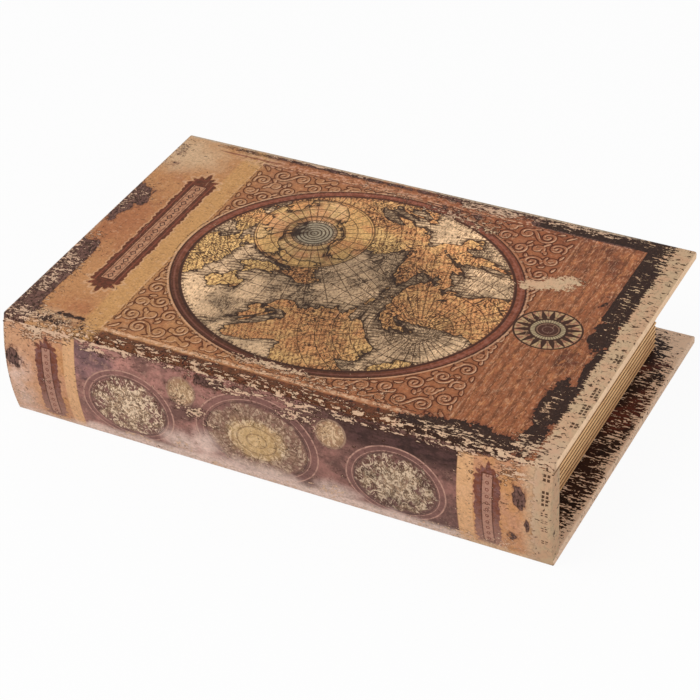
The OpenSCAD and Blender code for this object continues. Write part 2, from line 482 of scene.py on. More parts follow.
def board_cover(name, face_z, inner_z, step, r, fore_y, window, core_z, material):
    """Cloth round a board: a face grid, then loops carried round its edge and turned in to a window.

    Each loop is the face's outline moved out by a sine and down by a cosine round the edge of radius r,
    straight down the board's thickness, round again, and in to the window's rectangle. The spine's side
    follows its arc.
    """
    side = 1.0 if face_z > inner_z else -1.0
    depth = abs(face_z - inner_z)
    low = np.array([-HALF + r, CREASE_Y + r])
    high = np.array([HALF - r, fore_y - r])
    columns, rows = (np.round((high - low) / step).astype(int) + 1)
    xs = np.linspace(low[0], high[0], columns)
    ys = np.linspace(low[1], high[1], rows)
    gx, gy = np.meshgrid(xs, ys)
    face = np.stack([gx.ravel(), gy.ravel(), np.full(gx.size, face_z)], -1)

    # The outline runs tail-wards along the spine, up the tail, back along the fore edge and down the head
    fan = 5
    quarter = np.linspace(0, np.pi / 2, fan)
    parts = []
    for corner, (along, steady, first_angle) in enumerate([
        (xs, low[1], -np.pi / 2), (ys, high[0], 0.0),
        (xs[::-1], high[1], np.pi / 2), (ys[::-1], low[0], np.pi),
    ]):
        straight = np.stack([along, np.full(along.size, steady)], -1)
        if corner % 2:
            straight = straight[:, ::-1]
        turn = np.repeat(straight[-1:], fan - 2, 0)
        angles = np.concatenate([np.full(along.size, first_angle), first_angle + quarter[1:-1]])
        parts.append((np.concatenate([straight, turn]), angles))
    outline = np.concatenate([p for p, _ in parts])
    angle = np.concatenate([a for _, a in parts])
    outward = np.stack([np.cos(angle), np.sin(angle)], -1)
    at_spine = np.abs(outline[:, 1] - low[1]) < 1e-9

    def loop(out, down, inner=False):
        """The outline moved out and down from the face, and held inside the window where it is inner."""
        z = face_z - side * down
        flat = outline + outward * out
        flat[:, 1] -= np.where(at_spine, CREASE_Y - spine_y(z), 0.0)
        if inner:
            flat = np.clip(flat, window[0], window[1])
        return np.concatenate([flat, np.full((len(flat), 1), z)], 1)

    bend = np.linspace(0, np.pi / 2, 5)
    r_in = min(INNER_ROUND, depth / 2)
    loops = [loop(r * np.sin(a), r * (1 - np.cos(a))) for a in bend]
    loops += [loop(r, d) for d in np.linspace(r, depth - r_in, 3)[1:]]
    loops += [loop(r - r_in * (1 - np.cos(a)), depth - r_in * (1 - np.sin(a))) for a in bend[1:]]
    edge, rim = loops[-1], loop(r - r_in, depth, inner=True)
    loops += [edge + (rim - edge) * s for s in (0.04, 0.08, 0.13, 0.2, 0.28, 0.38, 0.5, 0.65, 0.8, 1.0)]

    # Up through the cloth's thickness and back out between cloth and board
    inset = CLOTH - BACK_GAP
    back = loop(r - inset, depth - CLOTH)
    lift = rim.copy()
    lift[:, 2] = back[0, 2]
    loops += [lift, back, loop(r - inset, abs(face_z - core_z))]
    ring = len(outline)
    points = np.concatenate([face, *loops])
    faces = grid_faces(rows, columns).tolist()
    start = len(face) + np.arange(len(loops) - 1)[:, None] * ring
    here, ahead = np.arange(ring)[None, :], np.roll(np.arange(ring), -1)[None, :]
    quads = np.stack([start + here, start + ahead, start + ring + ahead, start + ring + here], -1)
    faces += quads.reshape(-1, 4).tolist()
    faces.append((len(points) - ring + np.arange(ring)).tolist())
    return make_piece(name, points, faces, material)


def closed_sheet(name, outer, inner, material, body=None):
    """A thin closed sheet from its outer and inner grids of points, joined along their four borders."""
    rows, columns = outer.shape[:2]
    count = rows * columns
    index = np.arange(count).reshape(rows, columns)
    border = np.concatenate([index[0, :-1], index[:-1, -1], index[-1, :0:-1], index[:0:-1, 0]])
    ahead = np.roll(border, -1)
    faces = [
        grid_faces(rows, columns),
        grid_faces(rows, columns, count)[:, ::-1],
        np.stack([border, ahead, ahead + count, border + count], -1),
    ]
    points = np.concatenate([outer.reshape(-1, 3), inner.reshape(-1, 3)])
    return make_piece(name, points, np.concatenate(faces).tolist(), material, body)


def round_corner(x, half, r):
    """How far a face falls back near its end: a quarter circle of radius r that ends at half."""
    past = np.clip(np.abs(x) - (half - r), 0, r)
    return r - np.sqrt(r**2 - past**2)


# What is printed and worn, on the lid (u, v) and the spine (u, z)
def lid_fields(points):
    """Burnt, worn, pale, warm, longer and pink amounts on the lid, from its edges and a few spots."""
    u, v, z = points[:, 0] - HEAD_X, points[:, 1] - CREASE_Y, points[:, 2]
    width = LID_HI[1] - CREASE_Y
    from_end, from_fore = np.minimum(u, 2 * HALF - u), width - v
    spots = blots(u, v, [
        (1, 104, 13, 11, 1.05), (2, 94, 8, 9, 0.95), (2, 85, 5, 6, 0.70), (6, 8, 13, 8, 0.74),
        (29, 9.0, 9, 2.0, 0.8), (22, 3.0, 30, 4.5, 0.62), (219, 2.5, 26, 8, 1.4), (246, 36, 7.5, 15, 1.5),
        (245.5, 14, 4.5, 8, 1.5), (246, 87, 5.5, 10, 1.5), (160, 160, 34, 5, 0.95), (150, 150, 26, 6, 0.40),
        (250, 63, 3, 16, 1.4), (92, 158.8, 62, 1.5, 0.80), (239, 64, 5, 14, 0.42), (238, 108, 5, 12, 0.42),
        (6, 144, 4, 14, 0.42),
    ])
    head_side = falling(u, 9.0, 13.5) * falling(v, 60, 70)
    torn_u = 240.5 + 6.0 * falling(v, 74, 80)
    torn_side = smooth(u, torn_u - 0.8, torn_u + 0.8) * smooth(v, 94, 99)
    fore_side = smooth(v, width - 10.2, width - 8.8) * smooth(u, 180, 190)
    crease_side = falling(v, 4.4, 6.0) * (0.34 * smooth(u, 42, 50) + 0.9 * smooth(u, 186, 202))
    crease_side *= falling(u, 236, 246)
    burnt = np.maximum.reduce([spots, head_side, 1.4 * torn_side, 1.4 * fore_side, crease_side])

    rubbed = np.maximum.reduce([hill(from_end, 1.2, 0.66), hill(from_fore, 0.9, 0.56), hill(v, 6.0, 0.47)])
    worn = 0.04 + rubbed
    worn = np.maximum.reduce([worn, hill(v, 1.0, 0.50), smooth(u, 247.5, 253.5), blots(u, v, [
        (201, 107.5, 5.5, 3.0, 0.95), (206, 110.5, 7, 4.0, 1.2), (212, 114, 8.5, 4.6, 1.25),
        (218, 118.5, 7, 3.8, 1.0), (150, 148, 30, 8, 0.50), (150, 145, 16, 3.6, 0.66),
        (112, 153, 30, 6, 0.38), (12, 4, 34, 7, 0.56), (2, 148, 8, 16, 0.43), (150, 9, 50, 3, 0.45),
        (172, 13, 28, 5, 0.38), (247, 6, 18, 10, 0.60), (165, 141, 16, 4, 0.5), (128, 12.5, 26, 3.0, 0.80),
        (215, 3, 36, 7, 0.58), (210, 159, 44, 4.5, 0.66), (165, 157, 26, 5, 0.72), (4, 40, 10, 36, 0.61),
        (125, 7, 40, 3, 0.40), (244, 86, 6, 12, 0.34), (186, 158, 62, 6, 0.48), (250, 150, 8, 16, 0.60),
        (246, 112, 6, 44, 0.45), (243, 34, 8, 18, 0.40), (30, 160, 30, 3, 0.34), (3, 102, 9, 14, 0.47),
        (70, 160, 60, 3, 0.52),
    ])])
    on_side = smooth(TOP - z, 0.3, 1.0)
    side_worn = np.where((v < 1.5) & (u < 236), 0.50, 0.86)
    worn = np.where(on_side > 0, worn * (1 - on_side) + on_side * side_worn, worn)

    pale = np.maximum(blots(u, v, [
        (8, 146, 26, 22, 0.95), (16, 5, 32, 10, 0.75), (42, 154, 24, 9, 0.6), (60, 12, 40, 4, 0.45),
        (222, 116, 20, 7, 0.3), (112, 152, 30, 8, 0.45), (224, 38, 14, 22, 0.35), (64, 138, 24, 14, 0.5),
        (188, 134, 22, 14, 0.42),
    ]), hill(np.minimum(from_end, from_fore), 4.0, 0.45))
    warm = 0.05 + 0.22 * smooth(u, 46, 49) + 0.60 * smooth(u, 90, 205)
    warm += 0.28 * smooth(v, 95, 150) * smooth(u, 45, 60)
    warm += 0.22 * smooth(u, 206, 212)
    warm = np.maximum(warm, blots(u, v, [
        (10, 84, 17, 24, 0.62), (24, 16, 20, 12, 0.36), (100, 16, 30, 9, 0.5), (236, 150, 30, 10, 1.2),
        (241, 110, 8, 22, 1.5), (238.5, 64, 8, 15, 1.8), (226, 62, 20, 22, 1.05), (14, 130, 12, 16, 0.3),
    ]))
    longer = np.maximum.reduce([
        smooth(u, 232, 242), 0.9 * smooth(v, 148, 156), 0.8 * falling(v, 5, 9) * smooth(u, 40, 52),
    ])
    pink = np.maximum.reduce([
        0.7 * falling(u, 10, 20), 0.6 * smooth(v, 140, 150) * falling(u, 230, 240), 0.35 * falling(v, 8, 20),
    ])
    return {
        "burnt": burnt, "worn": worn, "pale": pale, "warm": np.clip(warm, 0, 1.3), "longer": longer,
        "pink": pink,
    }


def margin_wear(edge):
    """Worn amount on a turned-in margin, from the distance to its outer edge."""
    return 0.39 + hill(edge, 6.0, 0.21) + hill(edge, 1.3, 0.25)


def spine_fields(points):
    """Burnt, worn and pale amounts on the spine, from its creases and a few spots, and its title frames. Near
    the foot the pale amount is a painted reflection of the pale floor.
    """
    u, z = points[:, 0] - HEAD_X, points[:, 2]
    spots = blots(u, z, [
        (5, 32, 6.5, 6.5, 0.80), (20, 51.5, 24, 2.4, 0.30), (246.5, 34, 3.6, 6, 0.95),
        (243, 12, 3.4, 4.8, 0.62), (250, 21, 1.3, 4.5, 0.8), (104, 47, 16, 3.5, 0.75),
        (205, 51, 40, 2.4, 1.35),
    ])
    top_edge = (
        (0.75 + 0.6 * smooth(u, 120, 150)) * smooth(z, 49.5, 51.5) * smooth(u, 42, 50) * falling(u, 238, 248)
    )
    # Wear along the top, and along the foot pale scuffs that are partly wear and partly a painted reflection
    # of the floor
    worn = 0.10 + np.maximum(0.42 * smooth(z, 45, 51), hill(z, 5.5, 0.34))
    from_end = np.minimum(u, 2 * HALF - u)
    worn = np.maximum.reduce([worn, 1.1 * smooth(u, 249.5, 254.5), hill(from_end, 1.2, 0.70), blots(u, z, [
        (97, 30.5, 8, 3.0, 0.85), (90, 34, 5, 6, 0.55), (104, 26, 6, 3, 0.55), (88, 8, 9, 6, 0.52),
        (160, 8, 14, 6, 0.54), (245, 44, 14, 5, 0.60), (6, 9, 9, 7, 0.52), (48, 47, 14, 2.5, 0.62),
        (118, 46, 18, 3.0, 0.60), (146, 43, 14, 5, 0.60), (175, 48.6, 26, 2.8, 0.64),
        (214, 48.6, 24, 2.6, 0.60), (240, 6, 14, 8, 0.42), (212, 5, 20, 4, 0.48), (63, 5, 14, 4, 0.42),
        (16, 48, 24, 5, 0.56), (20, 50, 26, 2.2, 0.96), (56, 49.8, 26, 1.1, 0.85), (124, 48.5, 12, 4, 0.68),
        (150, 48, 14, 4, 0.70),
    ])])
    ends = np.maximum(falling(u, 36, 40), smooth(u, 217, 221))
    # Painted reflection: the print is washed pale along the foot, where the pale floor would light it
    painted_reflection_foot = hill(z, 7.0, 1.2) * (1 - ends) + hill(z, 5.0, 0.75) * ends
    pale = np.maximum.reduce([painted_reflection_foot, 0.6 * smooth(u, 240, 252), blots(u, z, [
        (4, 10, 14, 12, 0.6), (88, 10, 14, 11, 0.8), (162, 8, 18, 8, 0.75), (126, 3, 62, 10, 0.8),
        (5, 24, 12, 30, 0.6), (11, 14, 10, 12, 0.5), (240, 10, 14, 10, 0.35), (100, 14, 12, 12, 0.7),
    ])])
    titles = [
        title_distance(u - middle, z - SPINE_TITLE_Z, SPINE_TITLE_HALF, SPINE_TITLE_WAIST)
        for middle in SPINE_TITLES_U
    ]
    return {
        "burnt": np.maximum(spots, top_edge), "worn": worn, "pale": pale, "title": np.minimum.reduce(titles),
    }


def scroll_strokes():
    """Centres and half widths of the scrollwork in one corner, measured in from the frame's corner.

    Scrolls stand in pairs whose outer ends turn towards each other and are joined by a cubic curve, so that
    a pair reads as an S. A scroll is a spiral whose radius shrinks with its turn and whose stroke thins
    towards its eye. A leaf is an arc whose width swells and closes as a half sine.
    """
    pairs = [
        ((3.4, 52.4, 2.3), (5.2, 44.2, 3.2)), ((6.0, 34.0, 4.4), (13.2, 25.6, 4.4)),
        ((22.2, 17.4, 4.2), (32.0, 10.6, 3.8)), ((41.8, 7.2, 3.2), (50.6, 4.6, 2.6)),
        ((4.8, 22.6, 3.4), (6.0, 12.6, 4.2)), ((13.4, 5.6, 4.2), (23.4, 5.4, 3.6)),
        ((14.2, 15.4, 3.0), (10.4, 36.0, 1.6)), ((31.8, 3.0, 2.2), (38.6, 2.4, 1.5)),
        ((58.4, 3.0, 1.9), (64.4, 2.0, 1.3)), ((2.6, 58.6, 1.7), (1.8, 63.4, 1.2)),
    ]
    turns, start_lean, longest_join = 1.6, 0.9, 3.2
    places, widths = [], []
    t = np.linspace(0, 1, 70)
    for first, second in pairs:
        toward = np.arctan2(second[1] - first[1], second[0] - first[0])
        ends, leads = [], []
        for (cu, cv, radius), angle in ((first, toward + start_lean), (second, toward + np.pi + start_lean)):
            turn = angle + t * 2 * np.pi * turns
            r = radius * (1 - 0.88 * t**0.85)
            places.append(np.stack([cu + r * np.cos(turn), cv + r * np.sin(turn)], -1))
            swell = 0.26 + 0.30 * np.sin(np.pi * np.minimum(1, 0.3 + t * 0.7))
            widths.append(swell + 0.34 * smooth(t, 0.9, 1.0))
            ends.append(np.array([cu + radius * np.cos(angle), cv + radius * np.sin(angle)]))
            leads.append(np.array([np.sin(angle), -np.cos(angle)]))
        reach = np.hypot(*(ends[1] - ends[0])) * 0.4
        if reach < longest_join:
            a, b, c, d = ends[0], ends[0] + leads[0] * reach, ends[1] + leads[1] * reach, ends[1]
            w = t[:, None]
            places.append(a * (1 - w) ** 3 + 3 * b * w * (1 - w) ** 2 + 3 * c * w**2 * (1 - w) + d * w**3)
            widths.append(0.40 + 0.25 * np.sin(np.pi * t))

    # Leaves: where each starts, the way it heads in degrees and its length
    leaves = [
        (1.0, 1.0, 45, 5.6), (1.0, 6.6, 75, 3.6), (6.6, 1.0, 15, 3.6), (10.0, 10.0, 48, 4.2),
        (9.6, 19.0, 300, 3.4), (18.6, 10.4, 60, 3.6), (0.9, 17.0, 75, 3.4), (18.4, 0.9, 8, 3.4),
        (0.9, 27.0, 80, 3.6), (27.6, 1.2, 10, 3.2), (9.2, 28.4, 200, 3.2), (18.0, 20.4, 120, 3.4),
        (27.4, 10.2, 300, 3.0), (26.8, 16.2, 340, 3.8), (17.8, 25.0, 110, 3.4), (11.4, 30.8, 100, 3.6),
        (36.6, 7.0, 330, 2.8), (36.6, 12.0, 350, 3.0), (2.0, 38.8, 80, 3.0), (10.0, 40.6, 95, 3.0),
        (46.0, 3.2, 340, 2.6), (46.4, 7.6, 350, 2.8), (1.8, 48.2, 85, 2.6), (7.6, 48.0, 100, 2.6),
        (19.0, 14.8, 250, 2.6), (54.6, 1.8, 10, 2.6),
    ]
    for cu, cv, degrees, size in leaves:
        heading = np.radians(degrees) + 0.9 * (t - 0.5)
        step = size / t.size
        run, rise = np.cumsum(np.cos(heading)) * step, np.cumsum(np.sin(heading)) * step
        places.append(np.stack([cu + run, cv + rise], -1))
        widths.append(0.08 + 0.58 * np.sin(np.pi * t) ** 1.3)
    return np.concatenate(places), np.concatenate(widths)


def stroke_distance(places, centres, widths):
    """Distance from each place to the nearest stroke's edge, less than 0 inside a stroke."""
    nearest = np.full(len(places), FAR)
    batch = 120
    for first in range(0, len(centres), batch):
        some = slice(first, first + batch)
        apart = np.hypot(
            places[:, None, 0] - centres[None, some, 0], places[:, None, 1] - centres[None, some, 1]
        )
        nearest = np.minimum(nearest, (apart - widths[None, some]).min(1))
    return nearest


def scroll_field(points, shift=0.0):
    """Distance to the scrollwork, one corner's strokes mirrored into all four corners of the frame."""
    u, v = points[:, 0] - HEAD_X + shift, points[:, 1] - CREASE_Y - shift * 0.7
    in_u = np.minimum(u - FRAME_U[0], FRAME_U[1] - u)
    in_v = np.minimum(v - FRAME_V[0], FRAME_V[1] - v)
    dial = np.hypot((u - DIAL_U) / DIAL_A, (v - DIAL_V) / DIAL_B)
    used = (in_u > 0) & (in_v > 0) & (dial > 1.0) & (points[:, 2] > TOP - 0.5)
    distance = np.full(len(points), FAR)
    distance[used] = stroke_distance(np.stack([in_u[used], in_v[used]], -1), *scroll_strokes())
    return distance


def title_distance(across, along, half, waist):
    """Distance to a title frame's outline: a bar with scalloped sides and a palmette at each end.

    Each side is the waist plus the root of a rectified cosine and a finer rectified cosine. A palmette's
    leaves are ellipses that fan out from one point near the bar's end. A leaf is the angle that it leans,
    its length and its half width.
    """
    a, b = np.abs(across), np.abs(along)
    s = waist / 6
    root = half - 8.6 * s
    scallop = 1.3 * s * np.sqrt(np.abs(np.cos(np.pi * b / (13.2 * s))))
    scallop += 0.8 * s * np.abs(np.cos(np.pi * b / (3.3 * s)))
    shape = [np.maximum(a - waist - scallop + 0.6 * s, b - root)]
    past_root = b - root + 0.8 * s
    for degrees, reach, wide in ((0, 8.4, 1.35), (32, 6.2, 1.2), (62, 7.0, 1.15), (96, 7.4, 1.1)):
        lean = np.radians(degrees)
        along_leaf = a * np.sin(lean) + past_root * np.cos(lean) - (reach / 2 + 0.6) * s
        across_leaf = a * np.cos(lean) - past_root * np.sin(lean)
        shape.append((np.hypot(along_leaf / (reach / 2), across_leaf / wide) - s) * wide)
    return np.clip(np.minimum.reduce(shape), -FAR, FAR)


# Materials
def wear_and_burn(g, colour, c, worn, burnt, longer, pink, specks=0.60, dark=0.8):
    """Lays burnt blots and rubbed-off chips over a print. Chips run along the box and have a dark lip.

    Short chips give way to long ones as longer goes from 0 to 1, and dark specks are left on bare cloth
    where a noise is above specks. Bare cloth is pinker as pink goes from 0 to 1. Dark is the strength of
    the chips' lip. Each of these is a number or a wire.
    """
    slivers = g.noise((2.3, 1.3, 1.3), detail=3, rough=0.6, distort=0.7)
    slats = g.noise((4.6, 1.1, 1.1), detail=3, rough=0.6, distort=0.5, shift=19.0)
    slivers = slivers + (slats - slivers) * longer
    crumbs = g.noise(1.0, detail=2, rough=0.5, shift=7.0)
    patches = g.noise(9.0, detail=3, rough=0.6, shift=17.0)
    cloud = g.noise((4.6, 6.0, 6.0), detail=4, rough=0.55, shift=3.0)
    ash = g.noise((1.1, 1.9, 1.9), detail=3, rough=0.6, shift=11.0)

    # Burnt blots: soot, or plum where the cloth is pink, with ash in it and a dark rim
    char_at = burnt + (cloud - 0.5) * 1.3 + (ash - 0.5) * 0.5
    char = g.ramp_up(char_at, 0.5, 0.54)
    sooty = g.most(g.ramp_up(burnt, 1.12, 1.3), 1.0 - g.ramp_up(pink, 0.3, 0.6))
    tone = g.mix(sooty, c.plum, c.slate)
    tone = g.mix(g.ramp_up(ash, 0.52, 0.62) * (0.62 - sooty * 0.5), tone, (0.52, 0.38, 0.33))
    tone = g.mix(g.ramp_up(ash, 0.40, 0.48), toned(c.slate, 1.4), tone)
    colour = g.layers(
        colour,
        (g.ramp_up(char_at, 0.3, 0.5) * 0.5, c.maroon),
        (char * 0.95, tone),
        (g.band(char_at, 0.55, 0.05, 0.03) * 0.55, c.slate),
    )

    # Bare cloth in the chips, their lip, and specks of print that are left
    rub = worn + (slivers - 0.5) * 2.0 + (crumbs - 0.5) * 0.7 + (patches - 0.5) * 0.7
    bare = g.ramp_up(rub, 0.57, 0.62)
    stain = g.noise(6.0, detail=4, rough=0.6, shift=5.0)
    cream = g.layers(
        c.cream,
        (g.ramp_up(stain, 0.4, 0.62), c.peach),
        (g.ramp_up(ash, 0.5, 0.66) * 0.5, toned(c.cream, 0.80)),
        (pink * 0.8, (0.84, 0.69, 0.60)),
    )
    left = g.noise((2.8, 1.7, 1.7), detail=3, rough=0.6, distort=0.6, shift=23.0)
    colour = g.layers(
        colour,
        (g.band(rub, 0.49, 0.07, 0.03) * dark, c.line),
        (bare * 0.97, cream),
        (g.ramp_up(left, specks, specks + 0.02) * bare * 0.9, c.line),
    )
    return colour, bare, char


def lid_ground(g, c, u, cloud, mottle, flame):
    """The lid's ground: tan at the head, then orange-brown, and red-brown towards the tail, washed paler."""
    warm = g.field("warm") + (cloud - 0.5) * 1.1 + (flame - 0.5) * 0.7
    pale = g.ramp_up(g.field("pale") + (cloud - 0.5) * 0.9, 0.3, 0.85)
    return g.layers(
        c.tan,
        (g.ramp_up(warm, 0.0, 0.55), c.rust),
        (g.ramp_up(warm, 0.5, 1.15), c.terracotta),
        (g.ramp_up(warm, 1.15, 1.45) * 0.95, (0.31, 0.14, 0.10)),
        (g.band(u, 41.5, 5.5, 1.5) * 0.4, (0.82, 0.64, 0.39)),
        (pale * 0.75, c.cream),
        (g.ramp_up(mottle, 0.54, 0.70) * 0.42, c.peach),
        (g.inside(mottle, 0.37, 0.07) * 0.5, toned(c.rust, 0.72)),
    )


def lid_borders(g, c, ground, u, v, cloud, mottle, broken):
    """A brown band with a pale line at the crease, and thin dark lines on rosy cloth at the fore edge."""
    drift = (cloud - 0.5) * 1.6
    past_head = g.ramp_up(u, 44.0, 50.0)
    umber = g.mix(g.ramp_up(mottle, 0.4, 0.6), (0.42, 0.24, 0.15), (0.29, 0.16, 0.10))
    fore_run = g.ramp_up(u, 16.0, 30.0) * g.inside(u, 176.0, 10.0) * (0.35 + broken * 0.65)
    rosy = g.band(v + drift, 154.0, 4.0, 1.5) * g.ramp_up(u, 24.0, 44.0)
    return g.layers(
        ground,
        (g.inside(v + drift, 5.0, 0.5) * past_head * g.inside(u, 244.0, 5.0) * 0.9, umber),
        (g.band(v + drift * 0.6, 6.6, 0.8, 0.3) * past_head * (0.25 + broken * 0.7), c.peach),
        (g.ramp_up(mottle, 0.50, 0.57) * rosy * 0.6, (0.80, 0.60, 0.50)),
        (g.inside(mottle, 0.45, 0.03) * rosy * 0.55, (0.42, 0.22, 0.16)),
        (g.band(v + drift * 0.3, 158.6, 0.9, 0.25) * fore_run * 0.9, (0.19, 0.12, 0.10)),
        (g.band(v + drift * 0.5, 157.4, 0.5, 0.25) * fore_run * broken * 0.8, umber),
        (g.band(v + drift * 0.3, 154.4, 0.5, 0.3) * g.band(u, 38.0, 15.0, 4.0) * 0.8, (0.48, 0.26, 0.19)),
    )


def tail_strokes(g, c, ground, u, flame, field):
    """Rows of short strokes down the field at the tail."""
    weft = g.noise((0.7, 3.6, 1.0), detail=4, rough=0.7, distort=0.4, shift=14.0)
    rows = g.inside(g.repeat(u + (flame - 0.5) * 5.0, 4.6), 0.8, 0.6)
    return g.layers(
        ground,
        (g.inside(flame, 0.47, 0.07) * field * 0.4, toned(c.terracotta, 0.68)),
        (g.ramp_up(flame, 0.52, 0.62) * field * 0.6, (0.74, 0.49, 0.31)),
        (rows * g.ramp_up(weft, 0.42, 0.50) * field * 0.55, toned(c.terracotta, 0.55)),
        (g.ramp_up(weft, 0.54, 0.64) * field * 0.38, toned(c.terracotta, 0.5)),
        (g.inside(weft, 0.41, 0.05) * field * 0.35, c.peach),
    )


def scrollwork(g, c, ground, u, v, mottle, broken):
    """Raised strokes with a dark side and a light side, in a broken frame line. Also gives the strokes."""
    wobble = (mottle - 0.5) * 0.35
    scroll, lit = g.field("scroll") + wobble, g.field("scroll_lit") + wobble
    strokes, raised = g.inside(scroll, 0.1, 0.14), g.inside(lit, 0.1, 0.14)
    dark_ink = g.mix(g.field("warm"), (0.35, 0.17, 0.07), (0.28, 0.11, 0.05))
    light_ink = g.mix(g.field("warm"), (0.76, 0.57, 0.38), (0.68, 0.45, 0.32))
    box_u = abs(u - sum(FRAME_U) / 2) - (FRAME_U[1] - FRAME_U[0]) / 2
    box_v = abs(v - sum(FRAME_V) / 2) - (FRAME_V[1] - FRAME_V[0]) / 2
    box = g.most(box_u, box_v)
    rubbed_side = broken * (1.0 - g.ramp_up(u, 200.0, 208.0) * 0.5)
    ground = g.layers(
        ground,
        (g.inside(scroll, 1.5, 0.9) * 0.26, dark_ink),
        (g.band(scroll, 0.45, 0.30, 0.14) * (0.65 + broken * 0.3), dark_ink),
        (strokes * 0.45, light_ink),
        (g.most(raised - strokes, 0.0), dark_ink),
        (g.most(strokes - raised, 0.0) * (0.4 + broken * 0.4), c.peach),
        (g.band(box, 0.0, 0.4, 0.15) * rubbed_side * 0.75, dark_ink),
        (g.band(box, 0.9, 0.3, 0.15) * rubbed_side * 0.6, c.peach),
    )
    return ground, strokes


def lid_title(g, c, ground, u, v, mottle):
    """Title frame: maroon with a pale panel that holds a plain row of lozenges and beads."""
    title = g.field("title") + (mottle - 0.5) * 1.3
    along, across = v - sum(TITLE_V) / 2, abs(u - TITLE_U)
    blotchy = g.ramp_up(mottle, 0.4, 0.6)
    frame_ink = g.layers(
        (0.39, 0.18, 0.12),
        (blotchy, (0.28, 0.12, 0.07)),
        (g.band(across, 5.2, 0.3, 0.2) * 0.6, toned(c.maroon, 1.35)),
    )
    panel_ink = g.mix(blotchy, (0.75, 0.55, 0.42), (0.62, 0.42, 0.31))
    panel = g.most(across - 3.3, abs(along) - 41.0)
    pitch = 6.4
    step = g.repeat(along, pitch)
    lozenge = g.band(across * 1.15 + step * 0.85, 1.45, 0.35, 0.15)
    bead = g.inside(g.length(across, pitch / 2 - step), 0.55, 0.12)
    drawn = g.most(lozenge, bead, g.band(across, 2.5, 0.14, 0.1)) * g.inside(panel, -0.2, 0.1)
    return g.layers(
        ground,
        (g.band(title, 0.5, 0.25, 0.2) * 0.5, c.peach),
        (g.inside(title, 0.0, 0.2) * 0.94, frame_ink),
        (g.inside(panel, 0.0, 0.15), panel_ink),
        (g.band(panel, 0.3, 0.25, 0.1) * 0.7, toned(c.maroon, 0.6)),
        (drawn * 0.95, toned(c.maroon, 0.6)),
    )


